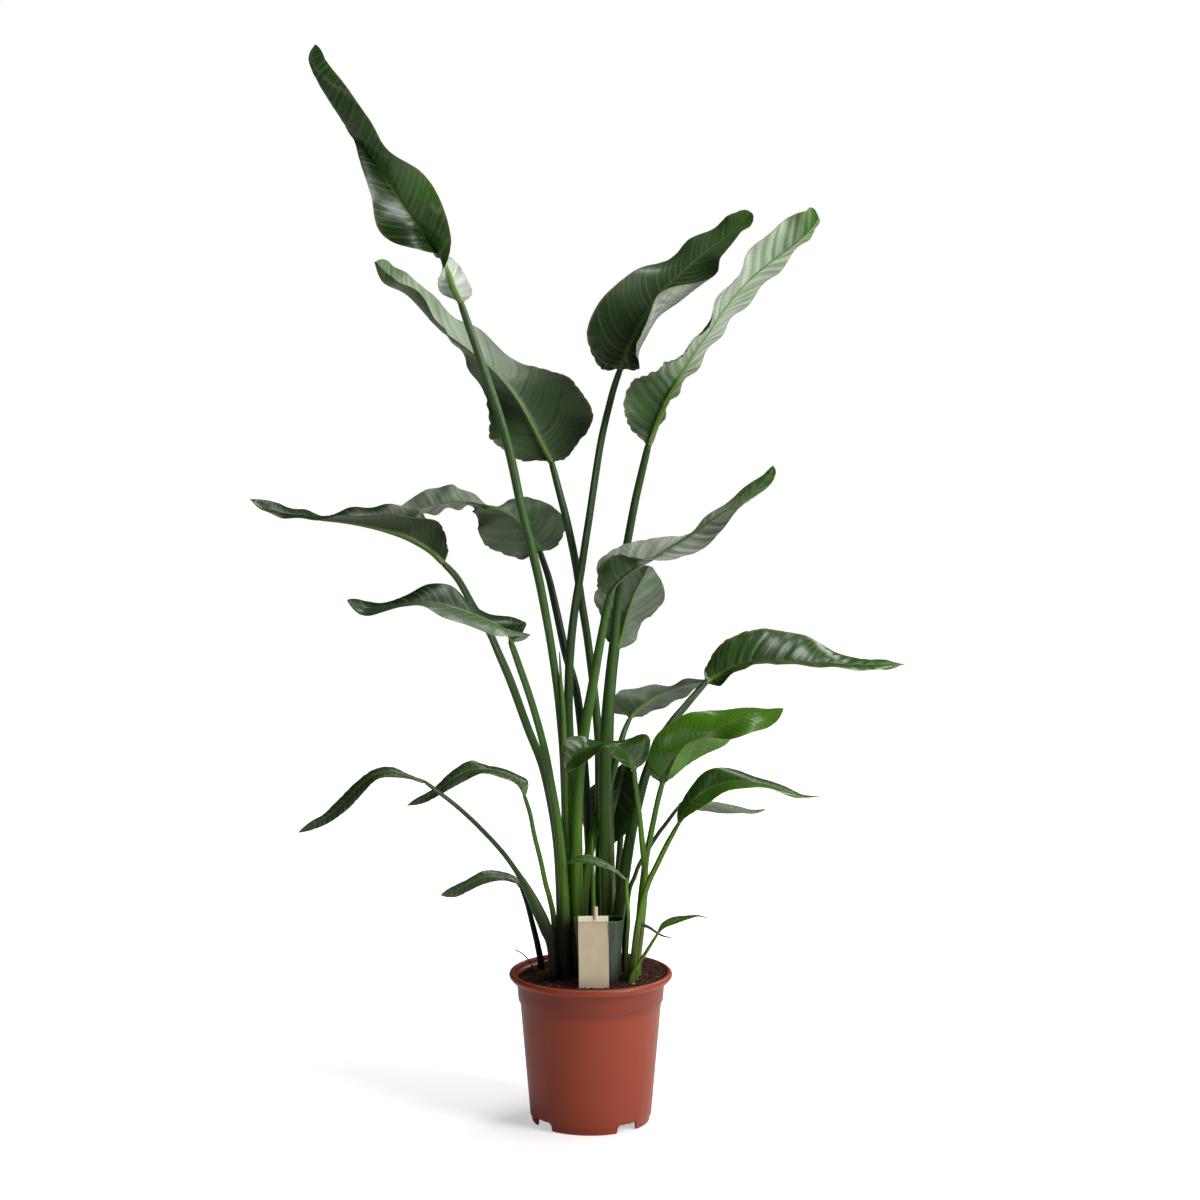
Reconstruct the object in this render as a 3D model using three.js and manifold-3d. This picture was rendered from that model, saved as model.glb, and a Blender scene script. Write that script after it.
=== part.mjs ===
// Potted giant white bird of paradise: a plastic nursery pot of soil with about twenty leaves in a loose fan.
// Millimetres, +Z up. The origin is on the floor under the middle of the pot, and the front of the plant faces -Y.
import * as THREE from 'three';
import { mergeVertices } from 'three/addons/utils/BufferGeometryUtils.js';
import Module from 'manifold-3d';

// Driving dimensions of the pot
const POT_HEIGHT = 222;
const LIP_RADIUS = 120;
const LIP_HEIGHT = 11;
const COLLAR_RADIUS = 108.5;
const COLLAR_HEIGHT = 32;
const COLLAR_TAPER = 2.5;
const LIP_ROLL = 4;
const WALL_TOP_RADIUS = 103.5;
const WALL_FOOT_RADIUS = 88;
const WALL_THICKNESS = 2.2;
const FLOOR_HEIGHT = 16;
const FLOOR_THICKNESS = 2.5;
const FOOT_HEIGHT = 9;
const FOOT_STEP = 1.5;
const FOOT_WALL = 4;
const NOTCH_HEIGHT = 13;
const FOOT_COUNT = 4;
const FOOT_GAP_DEGREES = 22;
const FOOT_TURN_DEGREES = -7;
const DRAIN_RADIUS = 7;
const DRAIN_CIRCLE = 55;
const POT_SIDES = 48;

// Soil
const SOIL_TOP = 212;
const SOIL_RELIEF = 3;
const SOIL_SLOPE = 0.045;
const SOIL_GAP = 1;
const SOIL_MARGIN = 10;
const SOIL_SIDES = 36;
const SOIL_RINGS = [92, 78, 62, 45, 27, 10];
const HOLE_GAP = 0.4;
const WELD_DISTANCE = 0.02;

// Leaves
const BLADE_THICKNESS = 1;
const TIP_HALF_WIDTH = 1;
const SEAM_GAP = 0.5;

// The front view that the leaves were measured in: the eye that sees every reach below at its true place
const EYE = new THREE.Vector3(13.6, -3728, 1169);

const wasm = await Module();
wasm.setup();

const plant = new THREE.Group();

const paint = {
  pot: new THREE.MeshStandardMaterial({ color: 0x9c4a34, roughness: 0.45 }),
  soil: new THREE.MeshStandardMaterial({ color: 0x2e1a14, roughness: 0.95 }),
  blade: new THREE.MeshStandardMaterial({ color: 0x2f4d26, roughness: 0.4 }),
  stalk: new THREE.MeshStandardMaterial({ color: 0x466b2a, roughness: 0.5 }),
  card: new THREE.MeshStandardMaterial({ color: 0xb5a085, roughness: 0.85 }),
  wood: new THREE.MeshStandardMaterial({ color: 0xd8c49c, roughness: 0.7 }),
  dry: new THREE.MeshStandardMaterial({ color: 0x4a3a2a, roughness: 0.9 }),
};

// A point read in the front view, moved along its line of sight to its own depth
function seen(across, up, depth) {
  const point = new THREE.Vector3(across, 0, up).sub(EYE);
  return point.multiplyScalar((depth - EYE.y) / -EYE.y).add(EYE);
}

// A closed mesh from rows of points, each row a ring. A sheet's ring runs out along one face and back along the
// other, so its cells are split the same way on both faces and its ends are closed across, not by a fan.
function closedLoft(rings, isSheet = false) {
  const sides = rings[0].length;
  const positions = rings.flat().flatMap((point) => point.toArray());
  const faces = [];
  for (let row = 0; row < rings.length - 1; row += 1) {
    for (let side = 0; side < sides; side += 1) {
      const next = (side + 1) % sides;
      const a = row * sides + side;
      const b = row * sides + next;
      const c = (row + 1) * sides + next;
      const d = (row + 1) * sides + side;
      const isBack = isSheet && side >= sides / 2;
      faces.push(...(isBack ? [a, b, d, b, c, d] : [a, b, c, a, c, d]));
    }
  }
  for (const [row, turn] of [[0, -1], [rings.length - 1, 1]]) {
    const closeWith = (a, b, c) => faces.push(a, turn > 0 ? b : c, turn > 0 ? c : b);
    const first = row * sides;
    if (isSheet) {
      const last = first + sides - 1;
      for (let side = 0; side < sides / 2 - 1; side += 1) {
        closeWith(first + side, first + side + 1, last - side - 1);
        closeWith(first + side, last - side - 1, last - side);
      }
    } else {
      const middle = positions.length / 3;
      const centre = new THREE.Vector3();
      rings[row].forEach((point) => centre.add(point));
      positions.push(...centre.divideScalar(sides).toArray());
      for (let side = 0; side < sides; side += 1) {
        closeWith(middle, first + side, first + ((side + 1) % sides));
      }
    }
  }
  const geometry = new THREE.BufferGeometry();
  geometry.setAttribute('position', new THREE.Float32BufferAttribute(positions, 3));
  geometry.setIndex(faces);
  return geometry;
}

function toSolid(geometry) {
  const clean = geometry.clone();
  clean.deleteAttribute('normal');
  clean.deleteAttribute('uv');
  const merged = mergeVertices(clean, 1e-4);
  return new wasm.Manifold(new wasm.Mesh({
    numProp: 3,
    vertProperties: new Float32Array(merged.attributes.position.array),
    triVerts: new Uint32Array(merged.index.array),
  }));
}

// Vertices closer than the weld distance become one, and the triangles that this closes up are left out
function toGeometry(solid) {
  const mesh = solid.getMesh();
  const cut = new THREE.BufferGeometry();
  cut.setAttribute('position', new THREE.Float32BufferAttribute(mesh.vertProperties, 3));
  cut.setIndex(Array.from(mesh.triVerts));
  const geometry = mergeVertices(cut, WELD_DISTANCE);
  const corners = Array.from(geometry.index.array);
  const faces = [];
  for (let first = 0; first < corners.length; first += 3) {
    const [a, b, c] = corners.slice(first, first + 3);
    if (a !== b && b !== c && c !== a) faces.push(a, b, c);
  }
  geometry.setIndex(faces);
  return geometry;
}

// The largest of the bodies that a cut leaves
function largestBody(solid) {
  return solid.decompose().sort((one, other) => other.volume() - one.volume())[0];
}

function addMesh(name, geometry, material) {
  const mesh = new THREE.Mesh(geometry, material);
  mesh.name = name;
  plant.add(mesh);
  return mesh;
}

// A smooth value along a list of numbers or points, with part running from 0 to 1
function along(list, part) {
  const place = Math.min(Math.max(part, 0), 1) * (list.length - 1);
  const index = Math.min(Math.floor(place), list.length - 2);
  const t = place - index;
  const pick = (offset) => list[Math.min(Math.max(index + offset, 0), list.length - 1)];
  const [before, start, end, after] = [pick(-1), pick(0), pick(1), pick(2)];
  const blend = (a, b, c, d) => b + 0.5 * t * (c - a + t * (2 * a - 5 * b + 4 * c - d + t * (3 * (b - c) + d - a)));
  if (typeof start === 'number') return blend(before, start, end, after);
  return new THREE.Vector3(
    blend(before.x, start.x, end.x, after.x),
    blend(before.y, start.y, end.y, after.y),
    blend(before.z, start.z, end.z, after.z),
  );
}

// Leaf stalks, from the soil to the blade: across, up, depth and half width at each point
const STALKS = {
  left_1: [[-31, 152, 6, 10], [-32, 300, 6, 10], [-33, 400, 4, 8.8], [-36, 480, 2, 7.4], [-40, 550, 0, 6.2],
    [-47, 625, -3, 5.6], [-57, 700, -6, 5.8], [-75, 800, -12, 6.3], [-98, 895, -18, 6.4], [-121, 1000, -25, 6.3],
    [-153, 1100, -32, 6], [-185, 1194, -38, 5]],
  left_2: [[12, 152, 34, 8.5], [13, 300, 34, 8.5], [14, 400, 36, 7.5], [13, 500, 38, 7], [11, 570, 40, 6.4],
    [5, 635, 43, 6], [-3, 700, 46, 5.8], [-13, 765, 50, 5.8], [-23, 830, 54, 5.8], [-35, 885, 58, 5.6],
    [-46, 928, 62, 5.2], [-56, 966, 66, 4.6]],
  left_3: [[-20, 152, 26, 9], [-22, 300, 26, 8.5], [-26, 450, 27, 7.5], [-30, 540, 28, 7], [-32, 620, 29, 6.6],
    [-29, 700, 31, 6.3], [-22, 760, 33, 5.9], [-12, 820, 35, 5.6], [0, 900, 36, 5.4], [14, 990, 37, 5.2], [30, 1060, 38, 4.9],
    [42, 1098, 38, 4.5]],
  left_4: [[24, 152, 6, 10], [24, 260, 6, 10], [24, 330, 6, 10], [22, 400, 6, 9], [20, 470, 6, 9], [21, 540, 6, 9],
    [25, 620, 6, 7.8], [33, 700, 7, 7], [39, 760, 8, 6.3], [48, 820, 9, 6], [61, 895, 10, 5.8], [73, 950, 10, 5.5],
    [83, 991, 10, 5]],
  left_5: [[-42, 152, -12, 8.5], [-42, 300, -12, 8.5], [-44, 360, -12, 8], [-48, 415, -13, 7.5], [-55, 460, -14, 7],
    [-69, 523, -15, 6.5], [-90, 578, -18, 6], [-116, 650, -25, 6], [-133, 690, -30, 5.6], [-148, 724, -33, 5.2],
    [-170, 760, -37, 5.2], [-192, 799, -45, 5], [-212, 821, -54, 4.5]],
  left_6: [[-38, 152, -34, 7.5], [-38, 300, -35, 7.5], [-42, 380, -36, 7], [-48, 440, -38, 6.5], [-56, 490, -41, 6],
    [-66, 545, -45, 5.5], [-77, 590, -50, 5.3], [-91, 636, -58, 5.2], [-103, 671, -67, 5], [-115, 705, -78, 4.5]],
  left_7: [[0, 152, 58, 7], [0, 300, 58, 7], [-3, 420, 60, 6.5], [-9, 520, 64, 6.5], [-19, 626, 70, 6], [-37, 694, 78, 6],
    [-52, 764, 88, 5.5], [-61, 802, 94, 5], [-73, 838, 100, 4.5]],
  right_1: [[-20, 152, -18, 9], [-20, 300, -18, 9], [-20, 440, -18, 8], [-16, 510, -20, 7.5], [-8, 581, -24, 7.5],
    [4, 648, -30, 7], [16, 718, -40, 6], [27, 771, -48, 5]],
  right_2: [[32, 152, 40, 7], [30, 300, 40, 7], [28, 420, 41, 6.5], [27, 540, 42, 6], [30, 620, 44, 5.5],
    [34, 665, 46, 5], [38, 697, 48, 4.5]],
  right_3: [[32, 152, -14, 9.5], [36, 260, -14, 9.5], [42, 315, -14, 9], [49, 365, -13, 8.5], [55, 403, -11, 8],
    [62, 440, -8, 7.5], [71, 478, -5, 7], [82, 518, 2, 6.6], [100, 562, 14, 6], [119, 591, 27, 5.6], [134, 609, 42, 5.3],
    [148, 626, 58, 5], [167, 648, 72, 4.5]],
  right_5: [[66, 152, -20, 6], [68, 230, -20, 6], [72, 300, -21, 6], [77, 355, -24, 5.5], [81, 391, -30, 4.8],
    [86, 416, -37, 4.4], [91, 441, -46, 4.2], [97, 471, -59, 4], [104, 499, -70, 4]],
  right_6: [[-10, 152, 8, 7.5], [-12, 284, 8, 7.5], [-8, 357, 8, 7.5], [1, 411, 10, 7], [15, 466, 22, 6],
    [26, 495, 25, 5.5], [36, 530, 31, 5], [47, 571, 46, 4.3], [57, 595, 62, 3.4]],
  right_7: [[58, 152, -42, 8], [61, 205, -42, 8], [67, 246, -42, 7.6], [71, 280, -42, 7.2], [75, 314, -42, 6.6],
    [78, 344, -43, 5.8], [79, 374, -44, 5], [76, 405, -46, 4.4], [72, 445, -49, 3.8], [66, 492, -54, 3.6],
    [63, 521, -58, 3.6]],
  right_8: [[60, 152, -60, 4.5], [61, 215, -60, 4.5], [65, 262, -60, 4.5], [70, 298, -61, 4.5], [77, 330, -62, 4.3],
    [86, 357, -63, 4.1], [97, 380, -65, 4], [110, 407, -66, 3.8], [128, 440, -68, 3.2]],
  right_9: [[48, 152, -4, 3.6], [49, 250, -4, 3.6], [53, 315, -3, 3.6], [57, 344, -2, 3.4], [64, 361, 0, 3.2],
    [72, 382, 3, 3.1], [95, 420, 8, 3], [109, 439, 11, 2.9], [125, 461, 14, 2.7]],
  right_dark: [[34, 152, 66, 4.5], [36, 300, 76, 4.5], [42, 400, 92, 4.5], [48, 470, 98, 4.4], [54, 512, 97, 4.2],
    [56, 528, 93, 4], [50, 532, 88, 3.8]],
  front_small: [[46, 152, -52, 3.2], [51, 225, -52, 3.2], [53, 267, -53, 3], [55, 301, -55, 2.9], [53, 331, -59, 2.8],
    [52, 356, -62, 2.7]],
  right_small: [[56, 152, -70, 3.5], [58, 208, -70, 3.5], [68, 228, -72, 3], [80, 247, -74, 2.6], [98, 277, -78, 2.2]],
  left_low_1: [[-68, 152, 42, 5], [-72, 225, 42, 5], [-78, 262, 38, 4.5], [-86, 295, 30, 4], [-94, 325, 20, 3.6],
    [-102, 347, 10, 3]],
  left_low_2: [[-52, 152, -30, 4.5], [-52, 240, -30, 4.5], [-54, 297, -32, 4.2], [-60, 330, -36, 3.9], [-66, 352, -39, 3.7],
    [-73, 386, -43, 3.5], [-82, 424, -49, 3.3], [-88, 454, -54, 3.1], [-96, 480, -58, 3]],
  left_low_3: [[-52, 152, -48, 6], [-56, 250, -48, 7], [-66, 285, -50, 9], [-79, 315, -53, 8.5], [-93, 344, -56, 6],
    [-108, 369, -59, 4], [-130, 400, -64, 3.6], [-162, 435, -71, 3.4], [-194, 465, -78, 3.2], [-219, 485, -84, 3],
    [-240, 501, -90, 2.8]],
};

// Leaf blades, from the stalk to the tip. Each row holds the rib (across, up, depth), then the left and the right
// edge (across, up, lean), where a lean of 1 turns that half's hidden width towards the viewer and -1 away.
// upper is 1 where the upper face looks at the viewer at the base; belly rows say where a half folds round.
const BLADES = {
  left_1: { halfWidth: 62, upper: -1, waves: 5, ripple: 3, rows: [
    [-185, 1194, -38, -189, 1195, 0, -181, 1193, 0], [-196, 1216, -42, -215, 1210, -0.3, -169, 1212, -0.3],
    [-206, 1242, -46, -212, 1236, 0.5, -198, 1256, -0.5], [-229, 1279, -50, -198, 1284, 0.8, -242, 1266, 0.8],
    [-256, 1318, -54, -212, 1336, 0.7, -297, 1291, 0.7], [-285, 1360, -58, -240, 1378, 0.7, -313, 1346, 0.8],
    [-316, 1404, -62, -290, 1412, 0.7, -327, 1400, 0.8], [-345, 1443, -66, -313, 1452, 0.6, -346, 1447, -0.8],
    [-377, 1492, -70, -346, 1499, 0.6, -378, 1497, -0.8], [-397, 1532, -73, -374, 1535, 0.4, -394, 1538, -0.6],
    [-388, 1555, -75]] },
  left_2: { halfWidth: 74, upper: -1, waves: 7, ripple: 4, rows: [
    [-56, 966, 66, -60, 967, 0, -52, 967, 0], [-67, 986, 70, -103, 971, -0.5, -24, 983, -0.5],
    [-84, 1019, 76, -144, 1000, -0.5, 3, 1036, -0.5], [-107, 1060, 82, -145, 1042, -0.7, -34, 1090, -0.5],
    [-138, 1097, 88, -168, 1092, -0.7, -92, 1104, -0.6], [-175, 1126, 92, -188, 1126, -0.5, -156, 1152, -0.7],
    [-216, 1156, 94, -214, 1166, 0.4, -206, 1184, -0.7], [-260, 1203, 92, -254, 1214, 0.6, -248, 1226, -0.6],
    [-295, 1222, 88, -290, 1234, 0.5, -281, 1245, -0.5], [-307, 1250, 84]] },
  left_3: { halfWidth: 66, upper: 1, waves: 5, ripple: 3, rows: [
    [42, 1098, 38, 38, 1100, 0, 46, 1100, 0], [51, 1124, 40, 12, 1102, 0.2, 69, 1101, 0.6],
    [64, 1150, 42, -5, 1148, -0.3, 68, 1137, 1], [82, 1180, 46, 18, 1203, -0.5, 88, 1188, 1],
    [104, 1211, 50, 62, 1236, -0.6, 114, 1215, 1], [132, 1238, 54, 112, 1258, -0.7, 178, 1231, 0.7],
    [160, 1262, 58, 146, 1284, -0.7, 186, 1262, 0.7], [190, 1284, 62, 180, 1304, -0.6, 214, 1289, 0.6],
    [212, 1303, 65, 206, 1320, -0.5, 228, 1306, 0.5], [227, 1321, 67]],
    belly: { side: 'right', rows: [[44, 1099], [62, 1108], [74, 1135], [94, 1170], [128, 1196], [158, 1229], [174, 1262],
      [202, 1286], [220, 1304], [227, 1321]] } },
  left_4: { halfWidth: 62, upper: -1, waves: 8, ripple: 4, rows: [
    [83, 991, 10, 79, 993, 0, 87, 992, 0], [94, 1020, 9, 60, 1012, 0.5, 99, 1019, -1],
    [105, 1045, 8, 46, 1046, 0.5, 111, 1046, -1], [117, 1068, 6, 64, 1086, 0.6, 125, 1067, -1],
    [131, 1095, 4, 104, 1102, 0.7, 144, 1091, -0.9], [148, 1124, 1, 132, 1124, 0.8, 166, 1121, -0.8],
    [168, 1152, -2, 160, 1150, 0.8, 188, 1152, -0.8], [188, 1182, -5, 180, 1193, 0.8, 212, 1180, -0.8],
    [222, 1222, -9, 211, 1238, 0.7, 243, 1213, -0.7], [258, 1252, -13, 238, 1279, 0.6, 272, 1243, -0.7],
    [290, 1276, -17, 278, 1311, 0.5, 303, 1277, -0.6], [312, 1296, -20, 306, 1323, 0.4, 320, 1297, -0.4],
    [324, 1313, -22]] },
  left_5: { halfWidth: 58, upper: 1, waves: 6, ripple: 3, rows: [
    [-212, 821, -54, -209, 823, 0, -213, 826, 0], [-231, 839, -60, -205, 850, 0.8, -226, 860, -0.8],
    [-261, 856, -67, -218, 878, 0.7, -246, 897, -0.7], [-294, 868, -75, -262, 890, 0.8, -282, 905, -0.7],
    [-327, 876, -83, -306, 890, 0.8, -314, 903, -0.7], [-358, 881, -90, -346, 889, 0.8, -348, 899, -0.7],
    [-388, 884, -98, -382, 885, 0.8, -386, 888, -0.8], [-416, 889, -105, -416, 884, 0.8, -414, 899, -0.8],
    [-444, 894, -112, -446, 888, 0.7, -442, 903, -0.7], [-469, 903, -117, -472, 897, 0.5, -462, 912, -0.5],
    [-489, 913, -120]] },
  left_6: { halfWidth: 50, upper: 1, waves: 3, ripple: 2, rows: [
    [-115, 705, -78, -112, 706, 0, -113, 709, 0], [-119, 713, -80, -98, 709, 0.5, -96, 722, -0.6],
    [-124, 722, -82, -87, 718, 0.7, -93, 735, -0.7], [-135, 731, -85, -116, 716, 0.8, -112, 741, -0.8],
    [-148, 738, -87, -142, 716, 0.8, -146, 746, -0.8], [-178, 750, -93, -179, 730, 0.8, -174, 766, -0.8],
    [-209, 760, -99, -212, 743, 0.8, -199, 788, -0.7], [-239, 765, -105, -240, 759, 0.9, -232, 789, -0.7],
    [-269, 762, -112, -270, 756, 0.9, -263, 776, -0.8], [-299, 758, -119, -301, 749, 0.8, -297, 765, -0.8],
    [-327, 756, -126, -329, 746, 0.6, -326, 766, -0.6], [-351, 767, -132]] },
  left_7: { halfWidth: 58, upper: -1, waves: 7, ripple: 4, rows: [
    [-73, 838, 100, -76, 838, 0, -70, 838, 0], [-84, 856, 103, -103, 827, -0.5, -42, 852, -0.5],
    [-102, 880, 104, -150, 846, -0.5, -40, 890, -0.6], [-128, 897, 104, -163, 878, -0.7, -86, 916, -0.6],
    [-158, 905, 102, -168, 899, -0.9, -142, 903, -0.9], [-190, 909, 105, -194, 900, -0.8, -183, 929, -0.7],
    [-221, 905, 110, -222, 893, -0.7, -212, 932, -0.6], [-250, 898, 116, -252, 888, -0.6, -246, 921, -0.6],
    [-283, 892, 121]] },
  right_1: { halfWidth: 52, upper: -1, waves: 4, ripple: 2.5, rows: [
    [27, 771, -48, 24, 773, 0, 31, 771, 0], [42, 792, -50, 8, 818, -0.3, 9, 790, 0.7],
    [63, 809, -52, 46, 847, -0.5, 26, 828, 0.7], [89, 824, -54, 92, 857, -0.5, 64, 829, 0.8],
    [117, 843, -56, 128, 861, -0.6, 116, 827, 0.8], [147, 863, -59, 151, 871, -0.8, 160, 838, 0.8],
    [178, 885, -62, 172, 892, -0.8, 186, 869, 0.8], [206, 903, -65, 198, 912, -0.8, 213, 898, 0.8],
    [232, 922, -68, 224, 931, -0.7, 243, 922, 0.7], [254, 945, -70, 248, 949, -0.5, 264, 946, 0.5],
    [262, 961, -71]] },
  right_2: { halfWidth: 58, upper: -1, waves: 5, ripple: 3, rows: [
    [38, 697, 48, 35, 699, 0, 42, 697, 0], [44, 714, 50, 20, 714, -0.5, 62, 706, -0.5],
    [49, 734, 53, 13, 744, -0.6, 78, 738, -0.6], [55, 755, 56, 5, 774, -0.5, 104, 761, -0.5],
    [63, 777, 59, 22, 795, -0.5, 106, 786, -0.5], [74, 798, 62, 54, 811, -0.5, 95, 806, -0.5],
    [84, 817, 64]] },
  right_3: { halfWidth: 60, upper: 1, waves: 6, ripple: 3, rows: [
    [167, 648, 72, 165, 651, 0, 170, 646, 0], [182, 656, 76, 166, 671, -0.7, 189, 643, 0.7],
    [205, 668, 81, 187, 702, -0.7, 208, 662, 0.9], [233, 676, 87, 222, 722, -0.6, 236, 672, 0.9],
    [266, 678, 92, 260, 725, -0.6, 268, 675, 0.9], [300, 677, 97, 298, 719, -0.6, 302, 672, 0.9],
    [335, 675, 102, 333, 705, -0.7, 337, 670, 0.9], [370, 673, 107, 366, 686, -0.8, 372, 667, 0.8],
    [404, 673, 112, 403, 682, -0.8, 406, 665, 0.7], [432, 674, 116, 431, 679, -0.6, 433, 667, 0.6],
    [453, 674, 120]] },
  right_5: { halfWidth: 56, upper: 1, waves: 3, ripple: 2, rows: [
    [104, 499, -70, 101, 501, 0, 108, 499, 0], [109, 519, -73, 84, 521, -0.5, 114, 517, 0.7],
    [122, 539, -76, 91, 566, -0.5, 127, 542, 0.7], [143, 556, -79, 127, 595, -0.6, 147, 561, 0.8],
    [168, 570, -82, 160, 606, -0.6, 176, 567, 0.8], [194, 585, -84, 196, 609, -0.6, 206, 563, 0.7],
    [221, 595, -86, 228, 609, -0.6, 238, 576, 0.6], [250, 600, -88, 256, 610, -0.5, 264, 586, 0.5],
    [279, 609, -89]],
    belly: { side: 'right', rows: [[106, 499], [119, 509], [140, 526], [168, 543], [194, 556], [206, 570], [229, 588],
      [257, 594], [279, 609]] } },
  right_6: { halfWidth: 50, upper: -1, waves: 4, ripple: 2.5, rows: [
    [57, 595, 62, 55, 599, 0, 60, 595, 0], [64, 605, 64, 25, 606, -0.5, 68, 597, -0.6],
    [78, 616, 67, 40, 634, -0.6, 87, 603, -0.7], [96, 627, 72, 78, 642, -0.7, 109, 613, -0.7],
    [118, 637, 78, 112, 644, -0.8, 130, 623, -0.8], [143, 645, 84, 142, 652, -0.8, 150, 636, -0.8],
    [174, 651, 90]] },
  right_7: { halfWidth: 44, upper: 1, waves: 3, ripple: 2, rows: [
    [63, 521, -58, 60, 522, 0, 66, 522, 0], [57, 537, -62, 42, 531, 0.5, 84, 536, -0.5],
    [47, 549, -66, 32, 541, 0.7, 84, 570, -0.6], [34, 556, -70, 26, 550, 0.9, 52, 563, -0.8],
    [19, 557, -74, 16, 552, 0.9, 21, 560, -0.9], [0, 553, -78, 6, 542, 0.7, -2, 563, -0.7],
    [-18, 544, -82, -11, 527, 0.6, -19, 570, -0.5], [-31, 531, -85, -27, 518, 0.4, -39, 560, -0.4],
    [-38, 519, -87]] },
  right_8: { halfWidth: 34, upper: 1, waves: 3, ripple: 2, rows: [
    [128, 440, -68, 126, 442, 0, 130, 441, 0], [142, 464, -70, 130, 466, -0.7, 145, 455, 0.7],
    [164, 486, -72, 147, 499, -0.7, 173, 471, 0.7], [191, 499, -74, 172, 519, -0.6, 200, 488, 0.7],
    [220, 503, -76, 210, 520, -0.7, 228, 494, 0.7], [251, 499, -78, 245, 509, -0.7, 256, 491, 0.7],
    [281, 489, -80, 278, 495, -0.6, 284, 483, 0.6], [308, 481, -82, 308, 484, -0.5, 310, 478, 0.5],
    [332, 480, -84]] },
  right_9: { halfWidth: 22, upper: -1, waves: 2, ripple: 1.5, rows: [
    [125, 461, 14, 124, 464, 0, 127, 460, 0], [146, 466, 16, 136, 474, -0.6, 152, 459, -0.6],
    [176, 466, 18, 176, 474, -0.7, 181, 457, -0.7], [206, 461, 20, 205, 467, -0.7, 209, 455, -0.7],
    [232, 458, 22, 232, 462, -0.6, 234, 454, -0.6], [254, 461, 24]] },
  right_dark: { halfWidth: 48, upper: 1, waves: 3, ripple: 2, rows: [
    [50, 530, 85, 53, 530, 0, 47, 530, 0], [45, 500, 81, 66, 504, 0.5, 20, 506, -0.3],
    [38, 468, 80, 67, 466, 0.4, -10, 484, -0.3], [30, 440, 80, 58, 434, 0.4, -13, 448, -0.3],
    [22, 417, 78, 38, 414, 0.3, -2, 420, -0.3], [14, 398, 77]] },
  front_small: { halfWidth: 13, upper: 1, waves: 1, ripple: 1, rows: [
    [52, 356, -62, 51, 355, 0, 52, 358, 0], [36, 371, -64, 35, 368, 0.6, 33, 376, -0.6],
    [17, 381, -66, 17, 375, 0.6, 17, 388, -0.6], [-3, 386, -68, -3, 379, 0.5, -4, 394, -0.5],
    [-20, 387, -70, -20, 383, 0.4, -20, 392, -0.4], [-34, 381, -71]] },
  right_small: { halfWidth: 9, upper: 1, waves: 1, ripple: 0.6, rows: [
    [98, 277, -78, 97, 279, 0, 99, 277, 0], [108, 289, -80, 104, 292, -0.5, 110, 286, 0.5],
    [123, 296, -82, 118, 301, -0.5, 126, 292, 0.5], [140, 301, -84, 137, 304, -0.4, 142, 298, 0.4],
    [157, 303, -86, 156, 305, -0.3, 158, 302, 0.3], [171, 300, -88]] },
  left_low_1: { halfWidth: 17, upper: 1, waves: 2, ripple: 1.2, rows: [
    [-102, 347, 10, -101, 346, 0, -103, 349, 0], [-113, 359, 6, -113, 352, 0.6, -111, 364, -0.6],
    [-133, 364, 0, -132, 356, 0.6, -133, 370, -0.6], [-156, 361, -6, -156, 350, 0.5, -158, 369, -0.5],
    [-178, 351, -12, -178, 340, 0.4, -181, 358, -0.4], [-198, 341, -17, -197, 331, 0.3, -202, 347, -0.3],
    [-219, 334, -21]] },
  left_low_2: { halfWidth: 22, upper: 1, waves: 3, ripple: 1.5, rows: [
    [-96, 480, -58, -98, 481, 0, -94, 482, 0], [-102, 502, -60, -108, 497, 0.6, -91, 505, -0.6],
    [-124, 514, -62, -128, 508, 0.7, -117, 517, -0.7], [-150, 520, -64, -155, 513, 0.7, -147, 525, -0.7],
    [-175, 519, -66, -180, 504, 0.6, -174, 534, -0.5], [-199, 506, -68, -201, 493, 0.6, -199, 518, -0.6],
    [-222, 490, -69, -222, 480, 0.6, -225, 496, -0.6], [-246, 476, -70, -244, 470, 0.4, -248, 481, -0.4],
    [-267, 467, -71]] },
  left_low_3: { halfWidth: 19, upper: 1, waves: 3, ripple: 1.2, rows: [
    [-240, 501, -90, -240, 499, 0, -240, 503, 0], [-263, 509, -93, -263, 505, 0.7, -262, 513, -0.7],
    [-288, 516, -96, -287, 509, 0.7, -288, 523, -0.7], [-313, 512, -99, -309, 505, 0.7, -318, 518, -0.7],
    [-337, 494, -102, -331, 485, 0.7, -343, 501, -0.7], [-358, 471, -105, -353, 462, 0.7, -364, 477, -0.7],
    [-381, 452, -108, -377, 443, 0.6, -386, 457, -0.6], [-404, 439, -110, -402, 432, 0.4, -405, 445, -0.4],
    [-426, 427, -112]] },
};

const TOWARDS_VIEWER = new THREE.Vector3(0, -1, 0);
const STALK_SIDES = 8;
const BLADE_COLUMNS = [-1, -0.62, -0.26, 0, 0.26, 0.62, 1];
const SMALL_COLUMNS = [-1, -0.5, 0, 0.5, 1];
const SMALL_BLADE = 25;
const BLADE_CUP = 0.07;
const KEEL_DEPTH = 1.4;
const KEEL_TAPER = 1.1;

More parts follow.
